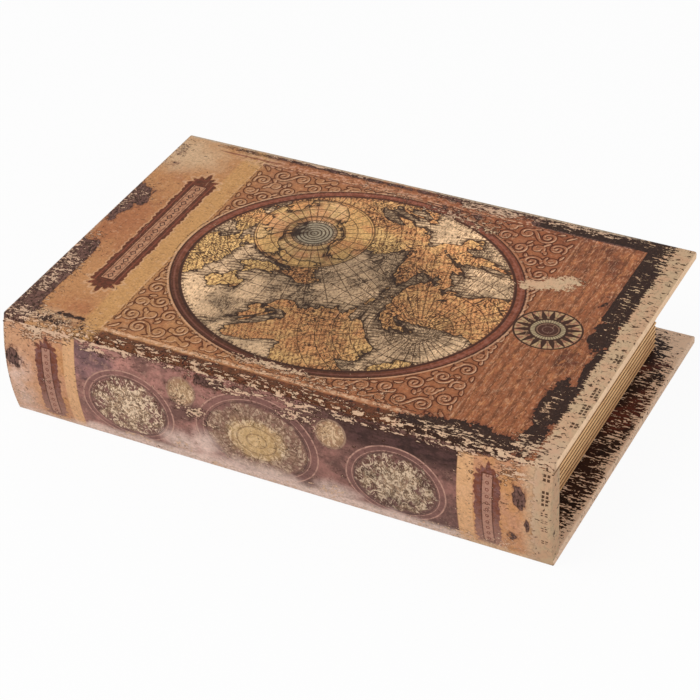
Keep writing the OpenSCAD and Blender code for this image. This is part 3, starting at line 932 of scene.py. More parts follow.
def chart_print(g, c, du, dv, dial, mottle, grain):
    """An engraved chart of no real place: land and sea from one noise, rays and rings from two centres."""
    coast = g.noise(40.0, detail=5, rough=0.54, distort=0.5, shift=47.0)
    kind = g.noise(60.0, detail=1, shift=8.0)
    haze = g.noise(11.0, detail=4, rough=0.6, shift=13.0)
    grit = g.noise((0.9, 2.4, 1.0), detail=3, rough=0.7, shift=17.0)
    stacks = g.noise((0.6, 3.4, 1.0), detail=3, rough=0.7, shift=37.0)
    busy = g.ramp_up(g.noise(19.0, detail=3, shift=39.0), 0.47, 0.56)
    ruled, uneven = 1.9, (mottle - 0.5) * 1.2
    sea = g.layers(
        toned(c.sea, 0.93),
        (g.ramp_up(haze, 0.38, 0.62), toned(c.sea, 1.10)),
        (g.ramp_up(mottle, 0.52, 0.66) * 0.5, (0.84, 0.70, 0.53)),
        (g.ramp_up(grit, 0.54, 0.60) * 0.55, (0.38, 0.24, 0.13)),
        (g.ramp_up(stacks, 0.53, 0.57) * busy * 0.75, (0.28, 0.18, 0.11)),
    )
    hatch = g.inside(g.repeat(du * 0.94 + dv * 0.34 + uneven, ruled), 0.42, 0.2)
    land = g.layers(
        c.orange,
        (g.ramp_up(kind, 0.46, 0.54), c.ochre),
        (g.ramp_up(haze, 0.45, 0.62) * 0.45, (0.84, 0.68, 0.44)),
        (g.ramp_up(mottle, 0.53, 0.60) * 0.6, (0.42, 0.23, 0.12)),
        (g.inside(mottle, 0.44, 0.05) * 0.45, (0.86, 0.68, 0.44)),
        (hatch * g.ramp_up(grit, 0.44, 0.56) * 0.75, (0.32, 0.17, 0.09)),
    )

    # Engraver's rows of short lines off the coast, crowded contour lines, rivers and dashes
    ink = (0.20, 0.12, 0.07)
    on_land = g.ramp_up(coast, 0.507, 0.511)
    rows = g.inside(g.repeat(dv * 0.9 - du * 0.2 + uneven, ruled), 0.36, 0.15)
    bends = g.noise(11.0, detail=5, rough=0.62, distort=0.9, shift=29.0)
    scribble = g.repeat(bends * 13.0, 1.0)
    crowded = g.ramp_up(g.noise(24.0, detail=3, shift=31.0), 0.46, 0.55)
    dashes = g.inside(g.repeat(dv + (haze - 0.5) * 3.0, 5.5), 0.5, 0.2) * g.ramp_up(grit, 0.52, 0.56)
    chart = g.layers(
        g.mix(on_land * 0.95, sea, land),
        (rows * g.band(coast, 0.487, 0.018, 0.010) * 0.75, ink),
        (crowded * (1.0 - on_land) * 0.3, (0.42, 0.35, 0.27)),
        (g.inside(scribble, 0.20, 0.06) * crowded * 0.9, ink),
        (g.inside(scribble, 0.09, 0.04) * on_land * 0.85, c.line),
        (dashes * g.inside(haze, 0.52, 0.04) * 0.8, ink),
    )

    # Rays and rings, the shore, degree ticks inside the ring, and dirt in the hollows
    faint, hub = chart_rays(g, du, dv)
    glow_ink = g.mix(g.ramp_up(haze, 0.42, 0.6), c.ochre, c.orange)
    boss = g.mix(g.inside(g.repeat(hub, 1.7), 0.32, 0.14), (0.60, 0.55, 0.46), ink)
    shore = g.band(coast, 0.508, 0.006, 0.002)
    turn = g.math("ARCTAN2", dv / DIAL_B, du / DIAL_A)
    ticks = g.inside(g.repeat(turn, math.pi / 90), 0.006, 0.003) * g.ramp_up(dial, 0.918, 0.920)
    chart = g.layers(
        chart,
        (g.band(hub, 19.0, 8.5, 0.4) * (0.3 + haze * 0.6), glow_ink),
        (faint * g.ramp_up(mottle, 0.36, 0.46) * 0.9, c.line),
        (g.inside(hub, 9.0, 0.1) * 0.85, boss),
        (g.band(coast, 0.500, 0.010, 0.006) * 0.45, ink),
        (shore * 0.95, (0.17, 0.10, 0.06)),
        (g.band(hub, 10.4, 0.3, 0.15) * 0.75, c.line),
        (g.band(hub, 14.0, 0.45, 0.15) * 0.75, c.line),
        (g.band(hub, 27.5, 0.4, 0.15) * 0.75, c.line),
        (ticks * 0.75, ink),
        (g.inside(mottle, 0.40, 0.05) * 0.36, (0.28, 0.20, 0.14)),
    )
    lift = g.ramp_up(du, 0.0, 55.0) * 0.16 + g.ramp_up(dv, 18.0, 46.0) * 0.25 + g.inside(du, -50.0, 6.0) * 0.5
    lift = lift + g.ramp_up(du + dv, 40.0, 80.0) * 0.34
    middle = g.inside(g.length(du / 36.0, dv / 30.0), 0.9, 0.3)
    chart = g.shade(1.0, chart, 1.0 + lift - middle * 0.18)
    return g.shade(0.6, chart, 0.40 + grain * 1.2), shore


def chart_rays(g, du, dv):
    """Rays and rings from two centres, by angle and radius, and the distance to the first centre."""
    faint, hub = 0.0, None
    for cu, cv, rays, pitch in ((-30.0, 27.0, 32, 6.6), (46.0, -22.0, 40, 7.4)):
        r = g.length(du - cu, dv - cv)
        turn = g.math("ARCTAN2", dv - cv, du - cu)
        ray = g.inside(g.repeat(turn, 2 * math.pi / rays) * r, 0.2, 0.14)
        rings = g.inside(g.repeat(r, pitch), 0.2, 0.14)
        near = g.inside(r, 58.0, 8.0)
        faint = g.most(faint, g.most(ray * g.ramp_up(r, 8.0, 9.0), rings) * near)
        hub = hub or r
    return faint, hub


def chart_ring(g, c, ground, du, dv, dial, mottle, broken):
    """The chart's ring: brown, darker towards the crease, with dark borders and a pale line outside them."""
    low = g.ramp_up(dv * -1.0 - du * 0.25, 8.0, 62.0)
    from_middle = abs(dial - 0.967)
    tone = g.layers(
        (0.52, 0.28, 0.19),
        (low * 0.85, (0.19, 0.09, 0.03)),
        (g.ramp_up(mottle, 0.5, 0.62) * 0.5 * (1.0 - low * 0.7), (0.60, 0.40, 0.34)),
        (g.inside(mottle, 0.46, 0.06) * 0.5, (0.30, 0.14, 0.10)),
        (g.ramp_up(from_middle, 0.010, 0.032) * 0.5, (0.28, 0.14, 0.11)),
        (g.band(dial, 0.974, 0.005, 0.004) * 0.35, (0.62, 0.40, 0.34)),
        (g.band(dial, 0.998, 0.0045, 0.002) * 0.85, (0.17, 0.08, 0.05)),
        (g.band(dial, 0.943, 0.007, 0.003) * 0.85, (0.17, 0.09, 0.05)),
    )
    outline = 0.2 + g.inside(dv + du * 0.25, 44.0, 26.0) * 0.4
    return g.layers(
        ground,
        (g.inside(from_middle, 0.035, 0.002) * 0.97, tone),
        (g.band(dial, 1.009, 0.004, 0.003) * outline, c.peach),
        (g.band(dial, 1.022, 0.003, 0.002) * broken * 0.8, c.line),
    )


def star_distance(g, r, turn, points, tip, root):
    """Above 0 outside a star: each ray's straight side runs from its tip radius to its root radius."""
    half = math.pi / points
    lean = g.math("PINGPONG", turn, half)
    px, py = r * g.math("COSINE", lean), r * g.math("SINE", lean)
    rx, ry = root * math.cos(half), root * math.sin(half)
    size = math.hypot(rx - tip, ry)
    return ((px - tip) * (ry / size)) - (py * ((rx - tip) / size))


def rose_print(g, ground, du, dv):
    """A wind rose: dark rays on a cream disc, beads, and rings round a dark eye. Slightly oval."""
    oval, ray_count = 1.09, 18
    half_ray = math.pi / ray_count
    r = g.length(du, dv * oval)
    turn = g.math("ARCTAN2", dv * oval, du)
    from_gap = g.repeat(turn + half_ray, 2 * half_ray) * r
    smudge = g.noise(2.4, detail=3, shift=3.0)
    dark = (0.21, 0.12, 0.08)
    petal = g.mix(g.ramp_up(smudge, 0.4, 0.62), (0.73, 0.61, 0.45), (0.64, 0.44, 0.34))
    rays = g.inside(star_distance(g, r, turn, ray_count, 15.7, 9.0), 0.0, 0.15)
    wing = g.length(from_gap, (r - 9.4) * 0.7)
    beads = g.inside(g.repeat(turn, half_ray) * r, 0.35, 0.14)
    rose = g.layers(
        petal,
        (g.inside(from_gap, 0.2, 0.14) * 0.6, dark),
        (g.most(rays, g.band(r, 14.9, 0.5, 0.15), g.inside(r, 10.2, 0.15)), dark),
        (g.inside(wing, 0.55, 0.2) * 0.65, petal),
        (g.band(r, 6.6, 0.95, 0.15) * (1.0 - beads * 0.6), (0.72, 0.64, 0.50)),
        (g.band(r, 4.7, 0.3, 0.15) * 0.7, (0.56, 0.42, 0.34)),
        (g.inside(r, 4.0, 0.15) * 0.6, (0.30, 0.17, 0.14)),
        (g.band(r, 2.4, 0.25, 0.15) * 0.5, (0.55, 0.42, 0.36)),
    )
    return g.mix(g.inside(r, 15.3, 0.15) * 0.97, ground, rose), rays


def marks(g, across, along, groups):
    """Groups of small dark squares printed in two columns. Each group is its middle and its half length."""
    pitch = 1.9
    found = 0.0
    for middle, half in groups:
        offset = along - middle
        squares = g.band(g.repeat(offset, pitch), 0.95, 0.66, 0.1)
        found = g.most(found, squares * g.inside(abs(offset), half, 0.1))
    return found * g.band(across, 0.85, 0.6, 0.1) * g.ramp_up(g.noise(2.0, detail=3, shift=6.0), 0.36, 0.42)


def lid_print(c):
    """The lid's print: grounds, scrollwork, a title frame, a round chart of no real place and a wind rose."""
    g = Graph("lid_print")
    u, v = g.x - HEAD_X, g.y - CREASE_Y
    cloud = g.noise(15.0, detail=5, rough=0.65)
    mottle = g.noise(2.6, detail=4, rough=0.68, shift=2.0)
    grain = g.noise(1.15, detail=4, rough=0.7, shift=9.0)
    flame = g.noise((2.2, 5.5, 2.2), detail=5, rough=0.7, distort=0.5, shift=4.0)
    broken = g.ramp_up(mottle, 0.46, 0.52)
    field = g.ramp_up(u, 207.0, 210.0)
    du, dv = u - DIAL_U, v - DIAL_V
    dial = g.length(du / DIAL_A, dv / DIAL_B)

    ground = lid_ground(g, c, u, cloud, mottle, flame)
    ground = lid_borders(g, c, ground, u, v, cloud, mottle, broken)
    ground = tail_strokes(g, c, ground, u, flame, field)
    ground, strokes = scrollwork(g, c, ground, u, v, mottle, broken)
    ground = lid_title(g, c, ground, u, v, mottle)
    chart, shore = chart_print(g, c, du, dv, dial, mottle, grain)
    ground = g.mix(g.inside(dial, 0.940, 0.002), ground, chart)
    ground = chart_ring(g, c, ground, du, dv, dial, mottle, broken)
    ground, petals = rose_print(g, ground, u - ROSE_U, v - ROSE_V)

    # Pale hairs, cloth that is lighter towards the fore edge and the tail, and grain over all of it
    hairs = g.noise((0.28, 5.0, 1.0), detail=2, rough=0.5, distort=0.15, shift=41.0)
    where = g.ramp_up(g.noise(22.0, detail=2, shift=43.0), 0.5, 0.62)
    ground = g.mix(g.ramp_up(hairs, 0.66, 0.71) * where * 0.55, ground, c.peach)
    lighter = g.ramp_up(v, 85.0, 140.0) * (g.ramp_up(u, 60.0, 110.0) * 0.10 + field * 0.09)
    ground = g.shade(1.0, ground, 1.0 + lighter + field * 0.04)
    ground = g.shade(0.9, ground, 0.36 + grain * 1.28)

    # Wear, with paler chips in a long scuff at the tail, printed marks, a pale line near the fore edge, and
    # on the lid's tail side pale rubbed cloth with a painted highlight
    scuff = g.inside(g.length((u - 210.0) / 14.0, (v - 113.0) / 9.0), 1.0, 0.3)
    colour, bare, char = wear_and_burn(
        g, ground, c, g.field("worn"), g.field("burnt"), g.field("longer"), g.field("pink"),
        specks=0.575 + scuff * 0.08 + g.ramp_up(u, 252.0, 256.0) * 0.012, dark=0.8 - scuff * 0.65,
    )
    colour = g.shade(1.0, colour, 1.0 - g.ramp_up(u, 248.0, 254.0) * 0.1)
    rim = g.ramp_up(v + (mottle - 0.5) * 1.6, 159.7, 160.2) * g.inside(u, 232.0, 8.0) * (0.45 + broken * 0.45)
    # Painted highlight: the lid's tail side, below the top face, is laid on in light cream over its rubbed
    # cloth
    rubbed = g.inside(g.z, TOP - 0.3, 0.25) * g.ramp_up(v, 0.5, 2.5)
    colour = g.layers(
        colour,
        (marks(g, abs(u - LID_MARKS_U), v, LID_MARKS) * 0.9, c.line),
        (rim, (0.74, 0.65, 0.55)),
        (rubbed * g.ramp_up(u, 240.0, 256.0) * (0.78 + broken * 0.16), (1.0, 0.85, 0.70)),
    )
    roughness = 0.52 + bare * 0.24 + char * 0.06 + (mottle - 0.5) * 0.12
    height = grain * 0.5 + g.noise(0.35, detail=2) * 0.35 - bare * 0.9
    height = height + strokes * 0.3 + petals * 0.2 + shore * 0.2
    return g.surface(colour, roughness, height, depth=0.06)


def spine_ends(g, c, u, z, cloud, mottle):
    """The spine's end panels: tan, each with a title frame whose panel holds a plain row of beads."""
    title = g.field("title") + (mottle - 0.5) * 1.3
    frame_ink = g.layers(
        c.maroon,
        (g.ramp_up(mottle, 0.42, 0.6), (0.46, 0.30, 0.29)),
        (g.inside(z, 16.0, 12.0) * 0.6, c.mauve),
    )
    across = g.least(*(abs(u - middle) for middle in SPINE_TITLES_U))
    panel = g.most(across - 2.1, abs(z - SPINE_TITLE_Z) - 18.0)
    bead = g.length(across, g.repeat(z, 3.4))
    return g.layers(
        toned(c.tan, 1.03),
        (g.ramp_up(cloud, 0.38, 0.62) * 0.8, (0.76, 0.55, 0.43)),
        (g.inside(u + (cloud - 0.5) * 14.0, 17.0, 10.0) * 0.6, (0.80, 0.61, 0.49)),
        (g.most(g.band(u, 34.0, 3.0, 0.3), g.band(u, 222.5, 3.5, 0.3)) * 0.7, (0.87, 0.68, 0.50)),
        (g.ramp_up(mottle, 0.54, 0.7) * 0.4, c.peach),
        (g.inside(mottle, 0.37, 0.07) * 0.45, toned(c.rust, 0.7)),
        (g.inside(title, 0.0, 0.18) * 0.92, frame_ink),
        (g.inside(panel, 0.0, 0.15) * 0.85, (0.70, 0.52, 0.44)),
        (g.band(panel, 0.3, 0.25, 0.12) * 0.6, toned(c.maroon, 0.6)),
        (g.band(bead, 0.65, 0.22, 0.12) * g.inside(panel, -0.1, 0.1) * 0.8, c.maroon),
    )


def spine_middle(g, c, u, z, cloud, mottle):
    """The plum panel between the spine's ends, bluish at the head's top and near black at the tail's top."""
    smear = g.noise((7.0, 2.4, 2.4), detail=5, rough=0.7, shift=54.0)
    blue = g.inside(g.length((u - 45.0) / 16.0, (z - 40.0) / 9.0) + (cloud - 0.5) * 1.2, 0.9, 0.25)
    night = g.ramp_up(z + (cloud - 0.5) * 16.0, 34.0, 41.0) * g.ramp_up(u, 150.0, 176.0)
    night_ink = g.mix(g.ramp_up(smear, 0.45, 0.6), (0.17, 0.11, 0.10), (0.30, 0.20, 0.19))
    plum = g.mix(g.ramp_up(cloud, 0.38, 0.62), toned(c.plum, 1.1), toned(c.plum, 1.65))
    plum = g.shade(1.0, plum, 1.55 - g.ramp_up(u, 40.0, 95.0) * 0.4 - g.ramp_up(u, 90.0, 190.0) * 0.32)
    plum = g.layers(
        plum,
        (blue * 0.45, (0.33, 0.28, 0.33)),
        (g.ramp_up(smear, 0.53, 0.66) * g.ramp_up(z, 14.0, 36.0) * 0.5, c.slate),
        (g.ramp_up(mottle, 0.53, 0.66) * (0.3 + g.inside(u, 90.0, 30.0) * 0.35), c.mauve),
        (night * 0.85, night_ink),
    )
    for cu, cz, ru, rz, kind in ROUNDELS:
        plum = roundel_print(g, c, plum, (u - cu) / ru, (z - cz) / rz, ru, kind, mottle)

    # The leafy disc at the head is a little brighter, and the one at the tail patchy and darker
    bright, dim = (
        g.inside(g.length((u - cu) / 18.0, (z - cz) / 15.0), 1.0, 0.15) for cu, cz, *_ in ROUNDELS[:2]
    )
    plum = g.shade(1.0, plum, 1.0 + bright * 0.12)
    return g.shade(1.0, plum, 1.0 - dim * (0.06 + g.ramp_up(cloud, 0.45, 0.6) * 0.3))


def spine_print(c):
    """The spine's print: end panels with title frames, and a plum panel with roundels."""
    g = Graph("spine_print")
    u, z = g.x - HEAD_X, g.z
    cloud = g.noise(13.0, detail=5, rough=0.65, shift=51.0)
    mottle = g.noise(2.4, detail=4, rough=0.68, shift=52.0)
    grain = g.noise(1.15, detail=4, rough=0.7, shift=53.0)
    # Pale wash: near the foot it is a painted reflection of the pale floor
    pale = g.ramp_up(g.field("pale") + (cloud - 0.5) * 0.9, 0.3, 0.9)
    washed = g.mix(g.ramp_up(u, 215.0, 225.0), (0.90, 0.79, 0.73), toned(c.cream, 1.02))
    colour = g.layers(
        spine_ends(g, c, u, z, cloud, mottle),
        (g.band(u, 128.0, 91.0, 0.3), spine_middle(g, c, u, z, cloud, mottle)),
        (pale * 0.84, washed),
    )
    colour = g.shade(0.9, colour, 0.40 + grain * 1.2)
    soft_lip = g.most(g.inside(z, 15.0, 6.0), g.ramp_up(u, 243.0, 248.0))
    colour, bare, _ = wear_and_burn(
        g, colour, c, g.field("worn"), g.field("burnt"), g.ramp_up(z, 41.0, 46.0) * 0.9,
        g.inside(u, 253.0, 3.0) * 0.6, specks=0.61 + g.ramp_up(u, 243.0, 252.0) * 0.02,
        dark=0.8 - soft_lip * 0.55,
    )
    colour = g.shade(1.0, colour, 1.0 - g.ramp_up(u, 247.0, 254.0) * 0.2)
    colour = g.mix(marks(g, abs(u - SPINE_MARKS_U), z, SPINE_MARKS) * 0.9, colour, c.line)
    height = grain * 0.5 + g.noise(0.35, detail=2) * 0.35 - bare * 0.9
    return g.surface(colour, 0.50 + bare * 0.24 + (mottle - 0.5) * 0.12, height, depth=0.06)


def roundel_print(g, c, under, du, dz, radius, kind, mottle):
    """One roundel: ring lines round a disc of leaf-like mottle, a sun of rings and rays, or a plain disc."""
    r = g.length(du, dz)
    turn = g.math("ARCTAN2", dz, du)
    thin = 1 / radius
    rubbed = 0.45 + g.ramp_up(mottle, 0.4, 0.52) * 0.5
    leaf = g.noise((2.8, 3.2, 3.2), detail=5, rough=0.64, distort=1.8, shift=61.0)
    depth = g.noise(6.5, detail=3, rough=0.6, shift=63.0)
    fall = 0.55 - r
    disc = g.layers(
        toned(c.plum, 1.3),
        (g.ramp_up(depth + fall * 0.34, 0.44, 0.60), c.khaki),
        (g.ramp_up(leaf + fall * 0.10, 0.50, 0.55) * 0.85, (0.88, 0.77, 0.65)),
        (g.band(leaf, 0.47, 0.03, 0.015) * g.ramp_up(depth, 0.38, 0.48) * 0.8, (0.27, 0.17, 0.12)),
        (g.ramp_up(mottle, 0.53, 0.60) * 0.7, (0.36, 0.25, 0.19)),
    )
    made = g.mix(g.inside(r, 1.0, 0.01) * 0.6, under, toned(c.plum, 1.12))
    if kind == "small":
        made = g.layers(
            made,
            (g.inside(r, 0.86, 0.08), g.mix(0.40, disc, (0.80, 0.64, 0.47))),
            (g.band(r, 0.93, thin * 0.4, thin * 0.3) * rubbed * 0.6, c.khaki),
        )
        return g.mix(g.inside(r, 1.02, 0.01), under, made)
    edge = r + (g.noise(5.5, detail=4, rough=0.6, shift=62.0) - 0.5) * 0.45
    if kind == "sun":
        rays = g.inside(g.repeat(turn, math.pi / 20) * r, 0.016, 0.012) * g.band(r, 0.62, 0.12, 0.02)
        rings = g.inside(g.repeat(r, 0.16), 0.013, 0.009)
        disc = g.layers(
            disc,
            (g.ramp_up(r, 0.42, 0.56) * 0.5, (0.62, 0.48, 0.40)),
            (g.inside(edge, 0.42, 0.18) * 0.7, (0.80, 0.65, 0.44)),
            (g.most(rings, rays) * rubbed * 0.55, (0.36, 0.24, 0.18)),
        )
    made = g.layers(
        made,
        (g.band(r, 0.93, 0.05, 0.02) * rubbed * 0.35, (0.58, 0.40, 0.37)),
        (g.inside(edge, 0.79, 0.04), disc),
        (g.band(r, 0.985, 0.34 * thin, 0.2 * thin) * rubbed, toned(c.mauve, 1.12)),
        (g.band(r, 0.87, 0.2 * thin, 0.2 * thin) * rubbed, toned(c.mauve, 1.12)),
        (g.band(r, 0.82, 0.16 * thin, 0.2 * thin) * rubbed, toned(c.mauve, 0.45)),
    )
    return g.mix(g.inside(r, 1.03, 0.01), under, made)


def margin_print(c):
    """Turned-in cloth and undersides: blackish brown with cream scuffs, and cream towards the outer edge.
    Bare cloth is laid on paler still: painted light that makes up for the shade under the lid.
    """
    g = Graph("margin_print")
    cloud = g.noise(20.0, detail=4, rough=0.6, shift=71.0)
    mottle = g.noise(3.0, detail=4, rough=0.65, shift=72.0)
    grain = g.noise(0.8, detail=3, rough=0.6, shift=73.0)
    dark = g.layers(
        (0.12, 0.065, 0.045),
        (g.ramp_up(cloud, 0.4, 0.6), (0.19, 0.10, 0.075)),
        (g.ramp_up(g.noise(26.0, detail=3, shift=74.0), 0.54, 0.62) * 0.75, (0.40, 0.19, 0.14)),
    )
    dark = g.shade(0.5, dark, 0.6 + grain * 0.8)
    colour, bare, _ = wear_and_burn(g, dark, c, g.field("worn"), g.field("burnt"), longer=1.0, pink=0.25)
    # Painted light: bare cloth made paler to make up for the shade under the lid
    colour = g.mix(bare * 0.6, colour, (0.98, 0.85, 0.74))
    return g.surface(colour, 0.55 + bare * 0.2 + (mottle - 0.5) * 0.1, grain * 0.5 - bare * 0.9, depth=0.06)


def page_paint(c):
    """Dull gold paint on the ribs and dark glaze in the grooves, streaked along the pages, with a painted
    highlight on the ribs' crests and painted shade towards the base.
    """
    g = Graph("page_paint")
    first_groove = (PAGE_HI[2] - PAGE_LO[2]) % RIB_PITCH / 2 + PAGE_LO[2]
    from_groove = g.repeat(g.z - first_groove, RIB_PITCH)
    streak = g.noise((26.0, 26.0, 0.5), detail=4, rough=0.6, shift=81.0)
    fine = g.noise((9.0, 9.0, 0.22), detail=3, rough=0.7, shift=82.0)
    blotch = g.noise(8.0, detail=3, shift=83.0)
    gold = g.layers(
        toned(c.page_light, 0.86),
        (streak, c.page_light),
        (g.ramp_up(fine, 0.5, 0.66) * 0.55, (0.60, 0.37, 0.19)),
        (g.ramp_up(blotch, 0.55, 0.7) * 0.35, (0.66, 0.42, 0.22)),
        # Painted highlight: the ribs' crests are laid on lighter
        (g.ramp_up(from_groove, 0.65, 1.2) * 0.6, (1.0, 0.84, 0.63)),
    )
    # Painted shade: the gold is darker low down by the base and lighter up towards the lid
    gold = g.shade(1.0, gold, 0.96 + g.ramp_up(g.z, BASE_TOP, BASE_TOP + 18.0) * 0.18)
    groove = g.inside(from_groove + (fine - 0.5) * 0.7, 0.50, 0.28)
    colour = g.layers(
        gold,
        # Painted shade: a darker, redder brown low down by the base
        (g.inside(g.z, BASE_TOP + 5.0, 6.0) * 0.4, (0.62, 0.36, 0.20)),
        (groove * 0.95, c.page_dark),
    )
    return g.surface(colour, 0.55 + (fine - 0.5) * 0.3, fine * 0.6 + streak * 0.4, depth=0.08)


def plain_paper(name, colour, roughness):
    """Matt paper or flock: fine fibres with a little colour drift."""
    g = Graph(name)
    drift = g.noise(24.0, detail=4)
    fibre = g.noise((0.9, 0.5, 0.6), detail=4, rough=0.7, shift=91.0)
    tone = g.layers(
        toned(colour, 0.82),
        (drift, toned(colour, 1.15)),
        (g.ramp_up(fibre, 0.5, 0.75) * 0.3, toned(colour, 1.5)),
    )
    return g.surface(tone, roughness + (fibre - 0.5) * 0.15, fibre, depth=0.05)


def woven_cloth(name, colour):
    """Book cloth: a plain weave of threads 0.5 mm apart, over and under by turns, with a painted highlight on
    the threads on top.
    """
    g = Graph(name)
    pitch = 0.5
    over = g.math("SINE", g.x * (math.pi / pitch)) * g.math("SINE", (g.y + g.z) * (math.pi / pitch))
    tone = g.layers(
        toned(colour, 0.8),
        (g.noise(12.0, detail=3), toned(colour, 1.15)),
        # Painted highlight: the threads that lie on top are laid on lighter
        (g.ramp_up(over, 0.0, 1.0) * 0.35, toned(colour, 1.6)),
    )
    return g.surface(tone, 0.82, over, depth=0.06)


def hinge_weave(context):
    """The hinge cloth's material, made once."""
    made = bpy.data.materials.get("hinge_weave")
    return made or woven_cloth("hinge_weave", context.scene.book_box.inside.hinge)


def fibreboard(c):
    """Raw fibreboard: short pale and dark fibres on tan."""
    g = Graph("fibreboard")
    fibre = g.noise((2.0, 1.2, 0.6), detail=5, rough=0.7)
    tone = g.mix(g.ramp_up(fibre, 0.35, 0.65), toned(c.board, 0.75), toned(c.board, 1.1))
    return g.surface(tone, 0.85, fibre, depth=0.08)


def nickel_plate(c):
    """Nickel plate with fine round brushing."""
    g = Graph("nickel_plate")
    brushed = g.noise((0.6, 0.08, 0.3), detail=3)
    tone = g.mix(brushed, toned(c.nickel, 0.85), c.nickel)
    return g.surface(tone, 0.28 + brushed * 0.15, brushed, depth=0.01, Metallic=1.0)


def dress(node, material):
    """Gives a CAD node its material."""
    piece = frame["nodes"][node]
    piece.data.materials.clear()
    piece.data.materials.append(material)


def spine_shell(zs, step, r, inset):
    """The spine cloth's grid: rows up the spine, each a path round the head end, the face and the tail end.

    Half a path runs out along the turned-in back, round the back's corner, along the end to the face and
    round the face's corner, with quarter circles at both. Then come the face and the same half mirrored.
    """
    r_face, r_back = r - inset, BACK_ROUND - inset
    end, back = HALF - inset, SPINE_BACK - inset
    tall = np.ones((len(zs), 1))
    y = spine_y(zs)[:, None] + inset
    bend = np.linspace(0, np.pi / 2, 5)[None, 1:]
    inner_x = np.linspace(HALF - TURN_IN, end - r_back, 12)[None, :]
    t = np.linspace(0, 1, 12)[None, 1:]
    half_x = np.concatenate([
        tall * inner_x,
        tall * (end - r_back + r_back * np.sin(bend)),
        tall * np.full(t.shape, end),
        tall * (end - r_face + r_face * np.cos(bend)),
    ], 1)
    half_y = np.concatenate([
        tall * np.full(inner_x.shape, back),
        tall * (back - r_back + r_back * np.cos(bend)),
        (back - r_back) + (y + r_face - (back - r_back)) * t,
        y + r_face - r_face * np.sin(bend),
    ], 1)
    count = int(round(2 * (end - r_face) / step)) + 1
    run_x = tall * np.linspace(end - r_face, -(end - r_face), count)[None, 1:-1]
    run_y = y * np.ones((1, count - 2))
    px = np.concatenate([half_x, run_x, -half_x[:, ::-1]], 1)
    py = np.concatenate([half_y, run_y, half_y[:, ::-1]], 1)
    return np.stack([px, py, np.repeat(zs[:, None], px.shape[1], 1)], -1)


def fold_grids(step, r):
    """Outer and inner grid of a strip over the hinge gap, on the spine's arc, rounded at both ends.

    The strip stands proud by a parabola that is highest at the fold and nearly flush at both borders.
    """
    zs = np.linspace(FOLD_Z - FOLD_REACH, FOLD_Z + FOLD_REACH, 15)
    xs = np.linspace(-HALF + FOLD_END_GAP, HALF - FOLD_END_GAP, int(round(2 * HALF / step)) + 1)
    gx, gz = np.meshgrid(xs, zs)
    lift = FOLD_PROUD * (1 - ((gz - FOLD_Z) / FOLD_REACH) ** 2) + FOLD_SKIN
    outer = np.stack([gx, spine_y(gz) + round_corner(gx, HALF, r) - lift, gz], -1)
    inner = outer.copy()
    inner[..., 1] += lift + FOLD_SUNK
    return outer, inner


class BOOKBOX_OT_lid_cover(bpy.types.Operator):
    """Make the lid's printed cloth, with its edges rounded and turned in under the board"""

    bl_idname = "bookbox.lid_cover"
    bl_label = "Lid Cover"

    def execute(self, context):
        c = context.scene.book_box.cover
        window = np.array([[LINING_LO[0], spine_y(LID_UNDER) + CLOTH], [LINING_HI[0], LINING_HI[1]]])
        cover = board_cover(
            "lid_cover", TOP, LID_UNDER, c.grid_step / MM, c.edge_round / MM, LID_HI[1], window,
            BOARD_HI[2] + BOARD_GAP, lid_print(c),
        )
        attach(cover, "lid")
        points = points_of(cover)
        x, y, z = points.T
        fields = lid_fields(points)
        turned_in = z < LID_UNDER + 0.1
        margin = margin_wear(np.minimum(HALF - np.abs(x), LID_HI[1] - y))
        fields["worn"] = np.where(turned_in, margin, fields["worn"])
        fields["burnt"] = np.where(turned_in, 0.0, fields["burnt"])
        fields["scroll"] = scroll_field(points)
        fields["scroll_lit"] = scroll_field(points, LIT_SHIFT)
        fields["title"] = title_distance(
            x - HEAD_X - TITLE_U, y - CREASE_Y - sum(TITLE_V) / 2, (TITLE_V[1] - TITLE_V[0]) / 2, TITLE_WAIST
        )
        write_fields(cover, fields)

        # Turned-in cloth shows the margin's scuffed brown, and the edge at the fold its unprinted weave
        x, y, z = centres_of(cover).T
        at_fold = (z < LID_UNDER + 0.65) & (y < CREASE_Y + 1.5) & (np.abs(x) < HALF - WEAVE_END_GAP)
        cover_faces(cover, margin_print(c), z < LID_UNDER + CLOTH * 0.6)
        cover_faces(cover, hinge_weave(context), at_fold)
        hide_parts("lid_wrap")
        return {"FINISHED"}


class BOOKBOX_OT_spine_cover(bpy.types.Operator):
    """Make the spine's printed cloth round its face and ends, and the fold that joins it to the lid"""

    bl_idname = "bookbox.spine_cover"
    bl_label = "Spine Cover and Fold"

    def execute(self, context):
        c = context.scene.book_box.cover
        step = c.grid_step / MM
        material = spine_print(c)
        zs = np.linspace(BASE_BARE, LID_UNDER - LID_GAP, int(round((LID_UNDER - BASE_BARE) / step)) + 1)
        outer, inner = (spine_shell(zs, step, c.case_round / MM, inset) for inset in (0.0, CLOTH - BACK_GAP))
        if outer.shape != inner.shape:
            raise RuntimeError("the spine cloth's two faces have different grids")
        cover = closed_sheet("spine_cover", outer, inner, material, "base")
        x, _, z = centres_of(cover).T
        cover_faces(cover, hinge_weave(context), (z > zs[-1] - 0.01) & (np.abs(x) < HALF - WEAVE_END_GAP))
        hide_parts("spine_wrap")

        skin, within = fold_grids(step, c.edge_round / MM)
        fold = closed_sheet("fold_cloth", skin, within, material)
        outer_faces = (skin.shape[0] - 1) * (skin.shape[1] - 1)
        cover_faces(fold, hinge_weave(context), np.arange(len(fold.data.polygons)) >= outer_faces)
        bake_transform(fold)
        for piece in (cover, fold):
            write_fields(piece, spine_fields(points_of(piece)))
        return {"FINISHED"}


